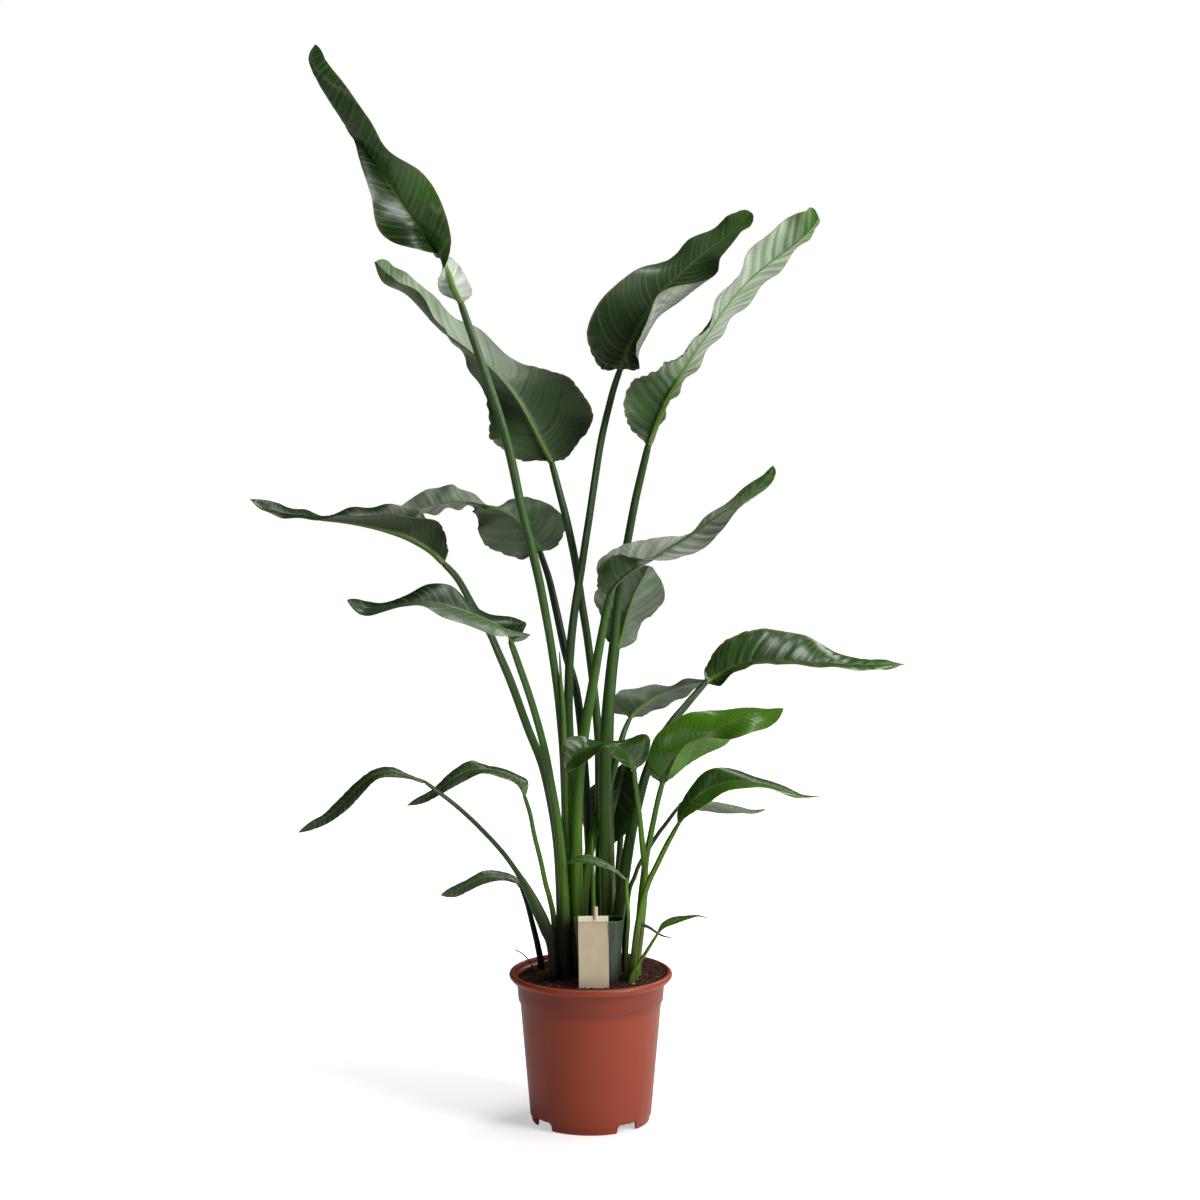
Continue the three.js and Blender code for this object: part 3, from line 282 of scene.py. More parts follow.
def closed_loft(rings):
    """A closed body from rings of points; its first and last rings are closed by fans."""
    count, sides = rings.shape[:2]
    ring, side = np.meshgrid(np.arange(count - 1), np.arange(sides), indexing="ij")
    here = (ring * sides + side).ravel()
    beside = (ring * sides + (side + 1) % sides).ravel()
    walls = np.stack([here, beside, beside + sides, here + sides], axis=1)
    side = np.arange(sides)
    beside = (side + 1) % sides
    last = (count - 1) * sides
    start_fan = np.stack([np.full(sides, count * sides), beside, side], axis=1)
    end_fan = np.stack([np.full(sides, count * sides + 1), last + side, last + beside], axis=1)
    points = np.concatenate([rings.reshape(-1, 3), [rings[0].mean(axis=0), rings[-1].mean(axis=0)]])
    return points, [walls, start_fan, end_fan]


def arc(centre, radius, start_degrees, end_degrees, steps):
    """Points of a circular arc in a profile or an outline."""
    turns = np.radians(np.linspace(start_degrees, end_degrees, steps))
    return [(centre[0] + radius * math.cos(turn), centre[1] + radius * math.sin(turn)) for turn in turns]


def pot_profile():
    """The half section of the pot, from the middle of the floor's underside round to its top."""
    roll = LIP_HEIGHT / 2 - LIP_UNDERCUT
    foot_face = WALL_FOOT_RADIUS - FOOT_STEP
    wall_under_collar = [
        (WALL_FOOT_RADIUS + 1 + (WALL_TOP_RADIUS - WALL_FOOT_RADIUS - 1) * part,
         FOOT_HEIGHT + 1 + (COLLAR_FOOT - FOOT_HEIGHT - 1) * part)
        for part in np.linspace(0, 1, 12)
    ]
    return [
        (1, FLOOR_HEIGHT - FLOOR_THICKNESS),
        (DRAIN_CIRCLE, FLOOR_HEIGHT - FLOOR_THICKNESS),
        (WALL_FOOT_RADIUS - FOOT_WALL, FLOOR_HEIGHT - FLOOR_THICKNESS),
        (WALL_FOOT_RADIUS - FOOT_WALL, 1),
        (WALL_FOOT_RADIUS - FOOT_WALL + 0.8, 0),
        *arc((foot_face - FOOT_ROUND, FOOT_ROUND), FOOT_ROUND, -90, 0, 5),
        (foot_face + 0.3, FOOT_HEIGHT - 0.6),
        (foot_face + 0.5, FOOT_HEIGHT),
        (WALL_FOOT_RADIUS + 0.8, FOOT_HEIGHT + 0.4),
        *wall_under_collar,
        (COLLAR_RADIUS - COLLAR_TAPER - 0.5, COLLAR_FOOT + 0.9),
        (COLLAR_RADIUS - COLLAR_TAPER, COLLAR_FOOT + 1.7),
        (COLLAR_RADIUS - COLLAR_TAPER / 2, COLLAR_FOOT + COLLAR_HEIGHT / 2),
        (COLLAR_RADIUS - 0.4, LIP_UNDER - 1.5),
        *arc((COLLAR_RADIUS + COLLAR_ROUND, LIP_UNDER - COLLAR_ROUND), COLLAR_ROUND, 180, 90, 4),
        (LIP_RADIUS - LIP_ROLL, LIP_UNDER + 0.1),
        *arc((LIP_RADIUS - LIP_HEIGHT / 2, POT_HEIGHT - roll), roll, -60, 100, 12),
        (COLLAR_RADIUS + 4.2, POT_HEIGHT - 0.8),
        (COLLAR_RADIUS + 3, POT_HEIGHT - 3),
        (COLLAR_RADIUS + 2, POT_HEIGHT - 6.5),
        (COLLAR_RADIUS - WALL_THICKNESS, POT_HEIGHT - 9),
        (COLLAR_RADIUS - COLLAR_TAPER - WALL_THICKNESS, COLLAR_FOOT + 1),
        (WALL_TOP_RADIUS - WALL_THICKNESS, COLLAR_FOOT - 1),
        (WALL_FOOT_RADIUS - WALL_THICKNESS, FLOOR_HEIGHT),
        (DRAIN_CIRCLE, FLOOR_HEIGHT),
        (1, FLOOR_HEIGHT),
    ]


def lathe(profile, sides):
    """Points and faces of a profile turned round the upright axis."""
    turns = np.linspace(0, 2 * math.pi, sides, endpoint=False)
    radius, height = np.array(profile).T
    rings = np.stack([
        radius[:, None] * np.cos(turns), radius[:, None] * np.sin(turns), height[:, None] + 0 * turns,
    ], axis=2)
    return closed_loft(rings)


def carve(piece, cutters):
    """Cuts the cutters out of a piece for good, softens its edges, and deletes the cutters."""
    for cutter in cutters:
        cut = piece.modifiers.new(cutter.name, "BOOLEAN")
        cut.operation = "DIFFERENCE"
        cut.solver = "EXACT"
        cut.object = cutter
    bevel = piece.modifiers.new("soft_edges", "BEVEL")
    bevel.width = EDGE_WIDTH * MM
    bevel.segments = 2
    bevel.limit_method = "ANGLE"
    bevel.angle_limit = math.radians(50)
    depsgraph = bpy.context.evaluated_depsgraph_get()
    piece_carved = bpy.data.meshes.new_from_object(piece.evaluated_get(depsgraph))
    piece.modifiers.clear()
    piece.data = piece_carved
    piece.data.set_sharp_from_angle(angle=math.radians(35))
    for cutter in cutters:
        bpy.data.objects.remove(cutter)


def make_cutter(name, first, second):
    """A closed shape between two outlines that have as many points, to be cut out of a piece."""
    count = len(first)
    faces = [[side, (side + 1) % count, count + (side + 1) % count, count + side] for side in range(count)]
    faces += [list(range(count))[::-1], list(range(count, 2 * count))]
    mesh = bpy.data.meshes.new(name)
    mesh.from_pydata((np.array([*first, *second]) * MM).tolist(), [], faces)
    mesh.validate()
    cutter = bpy.data.objects.new(name, mesh)
    bpy.context.scene.collection.objects.link(cutter)
    return cutter


def gap_turn(number):
    """The direction of a gap between two feet, in which a drain hole lies too."""
    return math.radians(FOOT_TURN_DEGREES + (number + 0.5) * 360 / FOOT_COUNT)


def foot_gap_cutter(number):
    """The gap between two feet: level at its top, and flared below so that the feet have round corners."""
    half = math.pi * WALL_FOOT_RADIUS * FOOT_GAP_DEGREES / 360
    flare = [(half + FOOT_CORNER * (1 - math.sin(turn)), FOOT_CORNER * (1 - math.cos(turn)) - 0.2)
             for turn in np.radians(np.linspace(0, 90, 6))]
    side = [(half + FOOT_CORNER, -2), *flare, (half, NOTCH_HEIGHT - 2), (half - 0.6, NOTCH_HEIGHT - 0.6),
            (half - 2, NOTCH_HEIGHT)]
    outline = side + [(-across, up) for across, up in reversed(side)]
    ahead = np.array([math.cos(gap_turn(number)), math.sin(gap_turn(number))])
    sideways = np.array([-ahead[1], ahead[0]])
    ends = [[(*(reach * ahead + across * sideways), up) for across, up in outline]
            for reach in (WALL_FOOT_RADIUS - 2 * FOOT_WALL, WALL_FOOT_RADIUS + 2 * FOOT_WALL)]
    return make_cutter(f"foot_gap_{number}", *ends)


def drain_cutter(number):
    """A round drain hole through the raised floor."""
    middle = DRAIN_CIRCLE * math.cos(gap_turn(number)), DRAIN_CIRCLE * math.sin(gap_turn(number))
    circle = arc(middle, DRAIN_RADIUS, 0, 360 - 360 / DRAIN_SIDES, DRAIN_SIDES)
    ends = [[(*point, height) for point in circle]
            for height in (FLOOR_HEIGHT - 2 * FLOOR_THICKNESS, FLOOR_HEIGHT + FLOOR_THICKNESS)]
    return make_cutter(f"drain_{number}", *ends)


def group_tree(name, inputs, outputs):
    """A shader node group with named sockets; returns it with its inner start and end sockets."""
    tree = bpy.data.node_groups.new(name, "ShaderNodeTree")
    for socket, (kind, value) in inputs.items():
        made = tree.interface.new_socket(socket, in_out="INPUT", socket_type=f"NodeSocket{kind}")
        if value is not None:
            made.default_value = value
    for socket in outputs:
        tree.interface.new_socket(socket, in_out="OUTPUT", socket_type="NodeSocketFloat")
    return tree, tree.nodes.new("NodeGroupInput").outputs, tree.nodes.new("NodeGroupOutput").inputs


def use_group(tree, group, inputs):
    """Places a node group in a material with its own values."""
    return add_node(tree, "Group", inputs, node_tree=group).outputs


def mix_colour(tree, part, first, second):
    """Two colours mixed; each is a colour or a socket."""
    return add_node(tree, "Mix", {0: part, 6: first, 7: second}, data_type="RGBA").outputs[2]


def tint(tree, colour, mask, share, tone):
    """A colour with a tone laid over it where the mask is, as strongly as the share says."""
    return mix_colour(tree, mask if share == 1 else times(tree, mask, share), colour, linear(*tone))


def bump(tree, height, strength, distance_mm, under=None):
    """A fine relief from a height, laid over another relief where one is given."""
    inputs = {"Height": height, "Strength": strength, "Distance": distance_mm * MM}
    if under is not None:
        inputs["Normal"] = under
    return add_node(tree, "Bump", inputs).outputs["Normal"]


def object_place(tree):
    """The place of a point in the piece's own frame."""
    return add_node(tree, "TexCoord").outputs["Object"]


def height_of(tree, place):
    """The height of a place, in metres."""
    return add_node(tree, "SeparateXYZ", {"Vector": place}).outputs["Z"]


def stretched(tree, place, scale):
    """A place scaled along its three axes."""
    return add_node(tree, "Mapping", {"Vector": place, "Scale": scale}).outputs["Vector"]


# Uneven colour or gloss over a surface: a cloudy value between 0 and 1
cloud_tree, start, end = group_tree("cloudy", {
    "Place": ("Vector", None), "Scale": ("Float", 30.0),
}, ["Value"])
cloud_noise = add_node(cloud_tree, "TexNoise", {
    "Vector": start["Place"], "Scale": start["Scale"], "Detail": 5.0, "Roughness": 0.55,
})
cloud_range = add_node(cloud_tree, "MapRange", {
    "Value": cloud_noise.outputs["Fac"], "From Min": 0.3, "From Max": 0.7,
})
cloud_tree.links.new(cloud_range.outputs["Result"], end["Value"])

# Small separate spots, such as scuffs, blemishes and dust
speck_tree, start, end = group_tree("specks", {
    "Place": ("Vector", None), "Scale": ("Float", 200.0), "Size": ("Float", 0.2), "Share": ("Float", 0.3),
}, ["Mask"])
speck_cells = add_node(speck_tree, "TexVoronoi", {"Vector": start["Place"], "Scale": start["Scale"]}).outputs
speck_near = calculate(speck_tree, "SUBTRACT", start["Size"], speck_cells["Distance"])
speck_body = times(speck_tree, speck_near, 12.0)
speck_pick = add_node(speck_tree, "SeparateColor", {"Color": speck_cells["Color"]}).outputs["Red"]
speck_kept = calculate(speck_tree, "LESS_THAN", speck_pick, start["Share"])
speck_mask = add_node(speck_tree, "Math", {
    0: speck_body, 1: speck_kept,
}, operation="MULTIPLY", use_clamp=True)
speck_tree.links.new(speck_mask.outputs["Value"], end["Mask"])


def clouds(tree, place, scale):
    """Uneven patches, as a value between 0 and 1."""
    return use_group(tree, cloud_tree, {"Place": place, "Scale": scale})["Value"]


def specks(tree, place, scale, size, share):
    """Small separate spots of a size, over a share of their cells, as a mask."""
    return use_group(tree, speck_tree, {"Place": place, "Scale": scale, "Size": size, "Share": share})["Mask"]


def terracotta_plastic():
    """The pot's plastic: flow streaks, scuffs on its foot, dust, painted shade under its lip and a lighter
    top to its lip.
    """
    material, tree = new_material("terracotta_plastic")
    place = object_place(tree)
    height = height_of(tree, place)
    streaks = clouds(tree, stretched(tree, place, (60, 60, 6)), 1.0)
    scuffs = times(tree, specks(tree, place, 75.0, 0.2, 0.09), ease(tree, height, 0.09, 0.03))
    dust_and_sheen = specks(tree, place, 420.0, 0.16, 0.1)
    # Shade painted on the collar under the overhanging lip, fading out down the wall below it.
    shade_under_lip = times(tree, ease(tree, height, (LIP_UNDER - 46) * MM, (LIP_UNDER - 30) * MM),
                      ease(tree, height, (LIP_UNDER + 1) * MM, (LIP_UNDER - 1) * MM))
    # The top of the lip a little lighter.
    lighter_lip_top = ease(tree, height, (POT_HEIGHT - 5) * MM, (POT_HEIGHT + 1) * MM)
    colour = mix_colour(tree, clouds(tree, place, 9.0), linear(156, 61, 28), linear(148, 55, 25))
    colour = tint(tree, colour, streaks, 0.18, (140, 60, 40))
    colour = tint(tree, colour, scuffs, 0.8, (84, 36, 26))
    colour = tint(tree, colour, dust_and_sheen, 0.35, (190, 122, 98))
    colour = tint(tree, colour, shade_under_lip, 0.4, (104, 32, 12))
    colour = tint(tree, colour, lighter_lip_top, 0.3, (188, 104, 80))
    roughness = calculate(tree, "MULTIPLY_ADD", scuffs, 0.3, ease(tree, streaks, 0.0, 1.0, 0.36, 0.42))
    relief = bump(tree, streaks, 0.1, 0.1)
    relief = bump(tree, clouds(tree, place, 900.0), 0.12, 0.08, relief)
    relief = bump(tree, calculate(tree, "SUBTRACT", 1.0, scuffs), 0.5, 0.4, relief)
    finish_material(tree, colour, roughness, relief, specular_ior_level=0.4)
    return material


pot = make_piece("pot_moulding", *lathe(pot_profile(), POT_SIDES), terracotta_plastic(), "pot_plastic", "pot")
carve(pot, [make(number) for make in (foot_gap_cutter, drain_cutter) for number in range(FOOT_COUNT)])

# Soil
# Peat-based potting soil, dark and loosely crumbed with bark chips, root fibres and a few pale grains.
# It fills the pot to just under the lip and is heaped highest at the front and on the right.
SOIL_TOP = 212
SOIL_RELIEF = 3
SOIL_SLOPE = 0.045
SOIL_GAP = 1
SOIL_GRAIN = 2.2
HEAP_ALL = 6
HEAP_RIGHT = 3
HEAP_FRONT = 3
HEAP_BACK = -2
SOIL_LIMIT = 220.8
SOIL_REACH = 109.4
SOIL_RINGS = 58
SOIL_SIDES = 288
CRUMB_COUNT = 1500
CHIP_COUNT = 170
FIBRE_COUNT = 150
FIBRE_POINTS = 7
WHITE_GRAIN = (62, -75)
WHITE_GRAIN_SIZE = (1.7, 1.5, 1.3)
WHITE_GRAIN_TONE = 2.0
soil_random = np.random.default_rng(24)


def soil_height(x, y):
    """The broad swells of the soil's top, as in the model."""
    broad = np.sin(x / 23 + 1) * np.cos(y / 19)
    narrow = np.sin((x + y) / 11)
    return SOIL_TOP + SOIL_SLOPE * x + SOIL_RELIEF * (0.5 * broad + 0.3 * narrow)


def lumps(x, y, size, random):
    """A rough repeatable relief of a given lump size, from crossed waves, between about -1 and 1."""
    total = np.zeros(np.shape(x))
    for _ in range(7):
        heading = random.uniform(0, math.pi)
        phase = random.uniform(0, 2 * math.pi)
        pitch = 2 * math.pi / (size * random.uniform(0.7, 1.6))
        total += np.sin(pitch * (x * math.cos(heading) + y * math.sin(heading)) + phase)
    return total / 3


def inside_wall(height):
    """The radius of the soil against the pot's wall."""
    rise = (height - FLOOR_HEIGHT) / (COLLAR_FOOT - FLOOR_HEIGHT)
    return WALL_FOOT_RADIUS + (WALL_TOP_RADIUS - WALL_FOOT_RADIUS) * rise - WALL_THICKNESS - SOIL_GAP


def crumbed_height(x, y):
    """The soil's top with its crumbs."""
    random = np.random.default_rng(5)
    coarse = lumps(x, y, 15, random)
    middle = lumps(x, y, 6, random)
    fine = lumps(x, y, 2.6, random)
    heap = HEAP_ALL + HEAP_RIGHT * np.clip((x - 20) / 70, 0, 1) + HEAP_FRONT * np.clip((-y - 30) / 60, 0, 1)
    heap = heap + HEAP_BACK * np.clip((y - x - 60) / 60, 0, 1)
    height = soil_height(x, y) + heap
    height += SOIL_GRAIN * (0.5 * coarse + 0.5 * np.abs(middle) + 0.4 * np.abs(fine) - 0.5)
    return np.minimum(height, SOIL_LIMIT)


def soil_body():
    """The filling of the pot as one closed body, with its crumbed top."""
    turns = np.linspace(0, 2 * math.pi, SOIL_SIDES, endpoint=False)
    collar_inside = COLLAR_RADIUS - COLLAR_TAPER - WALL_THICKNESS - SOIL_GAP
    bottom = FLOOR_HEIGHT + SOIL_GAP / 2
    side_rings = [
        (1, bottom), (inside_wall(FLOOR_HEIGHT), bottom), (inside_wall(COLLAR_FOOT - 4), COLLAR_FOOT - 4),
        (collar_inside, COLLAR_FOOT + 4), (collar_inside, SOIL_TOP - 8),
    ]
    rings = [np.stack([radius * np.cos(turns), radius * np.sin(turns), np.full(SOIL_SIDES, height)], axis=1)
             for radius, height in side_rings]
    for radius in SOIL_REACH * (1 - np.linspace(0, 0.985, SOIL_RINGS) ** 0.9):
        x = radius * np.cos(turns)
        y = radius * np.sin(turns)
        rings.append(np.stack([x, y, crumbed_height(x, y)], axis=1))
    return closed_loft(np.stack(rings))


LUMP_LONG = (1 + math.sqrt(5)) / 2
LUMP_POINTS = np.array([
    (-1, LUMP_LONG, 0), (1, LUMP_LONG, 0), (-1, -LUMP_LONG, 0), (1, -LUMP_LONG, 0),
    (0, -1, LUMP_LONG), (0, 1, LUMP_LONG), (0, -1, -LUMP_LONG), (0, 1, -LUMP_LONG),
    (LUMP_LONG, 0, -1), (LUMP_LONG, 0, 1), (-LUMP_LONG, 0, -1), (-LUMP_LONG, 0, 1),
]) / 1.9
LUMP_FACES = np.array([
    (0, 11, 5), (0, 5, 1), (0, 1, 7), (0, 7, 10), (0, 10, 11), (1, 5, 9), (5, 11, 4), (11, 10, 2), (10, 7, 6),
    (7, 1, 8), (3, 9, 4), (3, 4, 2), (3, 2, 6), (3, 6, 8), (3, 8, 9), (4, 9, 5), (2, 4, 11), (6, 2, 10),
    (8, 6, 7), (9, 8, 1),
])


def turned_at_random(points, random, tilt):
    """Points turned by a random heading and a tilt of at most the given angle."""
    heading = random.uniform(0, 2 * math.pi)
    lean = random.uniform(-tilt, tilt)
    roll = random.uniform(-tilt, tilt)
    x, y, z = points.T
    y, z = y * math.cos(lean) - z * math.sin(lean), y * math.sin(lean) + z * math.cos(lean)
    x, z = x * math.cos(roll) + z * math.sin(roll), z * math.cos(roll) - x * math.sin(roll)
    return np.stack([x * math.cos(heading) - y * math.sin(heading),
                     x * math.sin(heading) + y * math.cos(heading), z], axis=1)


def place_on_soil(random, reach):
    """A random place on the soil's top."""
    radius = reach * math.sqrt(random.uniform(0.05, 1))
    turn = random.uniform(0, 2 * math.pi)
    x = radius * math.cos(turn)
    y = radius * math.sin(turn)
    return np.array([x, y, crumbed_height(x, y)])


def loose_bits():
    """Crumbs, flat chips and one white grain, as one set of points and faces, with a tone for each point."""
    shapes, tones = [], []
    for index in range(CRUMB_COUNT + CHIP_COUNT + 1):
        rough = LUMP_POINTS * soil_random.uniform(0.7, 1.25, (len(LUMP_POINTS), 1))
        if index < CRUMB_COUNT:
            size = soil_random.uniform(0.9, 2.6) * np.array([1, soil_random.uniform(0.6, 1), 0.7])
            tone = soil_random.uniform(0.0, 0.55)
        elif index < CRUMB_COUNT + CHIP_COUNT:
            size = np.array([soil_random.uniform(2, 5.5), soil_random.uniform(0.8, 1.8), 0.5])
            tone = soil_random.uniform(0.45, 0.9)
        else:
            size = np.array(WHITE_GRAIN_SIZE)
            tone = WHITE_GRAIN_TONE
        where = place_on_soil(soil_random, SOIL_REACH)
        if tone == WHITE_GRAIN_TONE:
            where = np.array([*WHITE_GRAIN, crumbed_height(*WHITE_GRAIN) + 0.8])
        shapes.append(turned_at_random(rough * size, soil_random, 0.7) + where)
        tones.append(np.full(len(LUMP_POINTS), tone))
    faces = np.concatenate([LUMP_FACES + len(LUMP_POINTS) * index for index in range(len(shapes))])
    return np.concatenate(shapes), [faces], np.concatenate(tones)


def unit(vectors):
    """Vectors brought to length 1."""
    return vectors / np.maximum(np.linalg.norm(vectors, axis=-1, keepdims=True), 1e-9)


def rings_round(middles, radius, side, front, turns):
    """Rings of points round the middles of a stem; radius has a number for each middle, or for each point."""
    return middles[:, None] + radius[..., None] * (
        side[:, None] * np.cos(turns)[None, :, None] + front[:, None] * np.sin(turns)[None, :, None]
    )


def thread(path, radii, sides):
    """Points and faces of a closed thin thread along a path."""
    tangents = unit(np.gradient(path, axis=0))
    level = unit(np.cross(tangents, (0, 0, 1.0)))
    turns = np.linspace(0, 2 * math.pi, sides, endpoint=False)
    return closed_loft(rings_round(path, radii[:, None], level, np.cross(tangents, level), turns))


def fibres():
    """Curved root fibres and peat threads lying on the soil, a few of them sticking up."""
    points, faces = [], []
    count = 0
    reach = SOIL_REACH + 4
    parts = np.linspace(0, 1, FIBRE_POINTS)
    for index in range(FIBRE_COUNT):
        where = place_on_soil(soil_random, reach)
        heading = soil_random.uniform(0, 2 * math.pi)
        length = soil_random.uniform(6, 20)
        curl = soil_random.uniform(-1.6, 1.6)
        lift = soil_random.uniform(0.3, 2.2) if index % 9 else soil_random.uniform(3, 6)
        turn = heading + curl * parts
        steps = np.stack([np.cos(turn), np.sin(turn), 0 * turn], axis=1) * length / FIBRE_POINTS
        path = where + np.cumsum(steps, axis=0)
        far = np.linalg.norm(path[:, :2], axis=1)
        path[:, :2] *= np.minimum(1, reach / far)[:, None]
        path[:, 2] = crumbed_height(path[:, 0], path[:, 1]) + lift * np.sin(math.pi * parts) ** 1.5 + 0.2
        radii = soil_random.uniform(0.14, 0.4) * (0.35 + 0.65 * np.sin(math.pi * (0.12 + 0.76 * parts)))
        thread_points, thread_faces = thread(path, radii, 5)
        points.append(thread_points)
        faces += [group + count for group in thread_faces]
        count += len(thread_points)
    return np.concatenate(points), faces


def store(piece, name, values):
    """Keeps a number for each point of a piece, or one for all of them, which its material reads."""
    layer = piece.data.attributes.new(name, "FLOAT", "POINT")
    values = np.broadcast_to(np.asarray(values, np.float32).ravel(), len(piece.data.vertices))
    layer.data.foreach_set("value", np.ascontiguousarray(values))


def stored(tree, name):
    """The number that a piece keeps under a name, as its material reads it."""
    return add_node(tree, "Attribute", attribute_name=name).outputs["Fac"]


def peat_soil():
    """Damp peat, cloudy and flecked; the stored tone makes a bit lighter, and the grain white."""
    material, tree = new_material("peat_soil")
    place = object_place(tree)
    tone = stored(tree, "tone")
    cloud = clouds(tree, place, 120.0)
    fine = clouds(tree, place, 700.0)
    colour = mix_colour(tree, cloud, linear(38, 22, 17), linear(72, 40, 30))
    colour = tint(tree, colour, fine, 0.5, (30, 17, 14))
    colour = tint(tree, colour, ease(tree, tone, 0.2, 0.9), 1, (124, 78, 56))
    colour = tint(tree, colour, specks(tree, place, 330.0, 0.2, 0.07), 0.5, (150, 104, 74))
    colour = tint(tree, colour, ease(tree, tone, 1.4, 1.9), 1, (226, 222, 214))
    relief = bump(tree, fine, 0.6, 0.4, bump(tree, cloud, 0.7, 1.2))
    finish_material(tree, colour, ease(tree, cloud, 0.0, 1.0, 0.95, 0.75), relief, specular_ior_level=0.25)
    return material


soil_material = peat_soil()
bit_points, bit_faces, bit_tones = loose_bits()
fibre_points, fibre_faces = fibres()
soil = make_piece("soil_filling", *soil_body(), soil_material, "soil", "soil", sharp_degrees=70)
crumbs = make_piece("soil_crumbs", bit_points, bit_faces, soil_material, "soil", "soil", sharp_degrees=80)
threads = make_piece("soil_fibres", fibre_points, fibre_faces, soil_material, "soil", "soil")
for piece, tone in ((soil, 0.0), (crumbs, bit_tones), (threads, 0.8)):
    store(piece, "tone", tone)

# Stalks
# Smooth round leaf stalks, green with a grey bloom above and yellow-green below, grooved on the leaf's upper
# side. Their feet wrap round each other as sheaths, whose thin brownish margins run down the outside.
STALK_SIDES = 40
STALK_SECTION = 7
STALK_TUCK = 3
GROOVE_DEPTH = 0.2
GROOVE_HALF_ANGLE = 0.42
GROOVE_RIM_ANGLE = 0.75
GROOVE_RIM_HALF_ANGLE = 0.2
GROOVE_TO_VIEWER = math.pi / 2
GROOVE_TURN = 0.35
MARGIN_WIDTH = 0.7
MARGIN_HEIGHT = 0.6
MARGIN_FLAP_ANGLE = 0.9

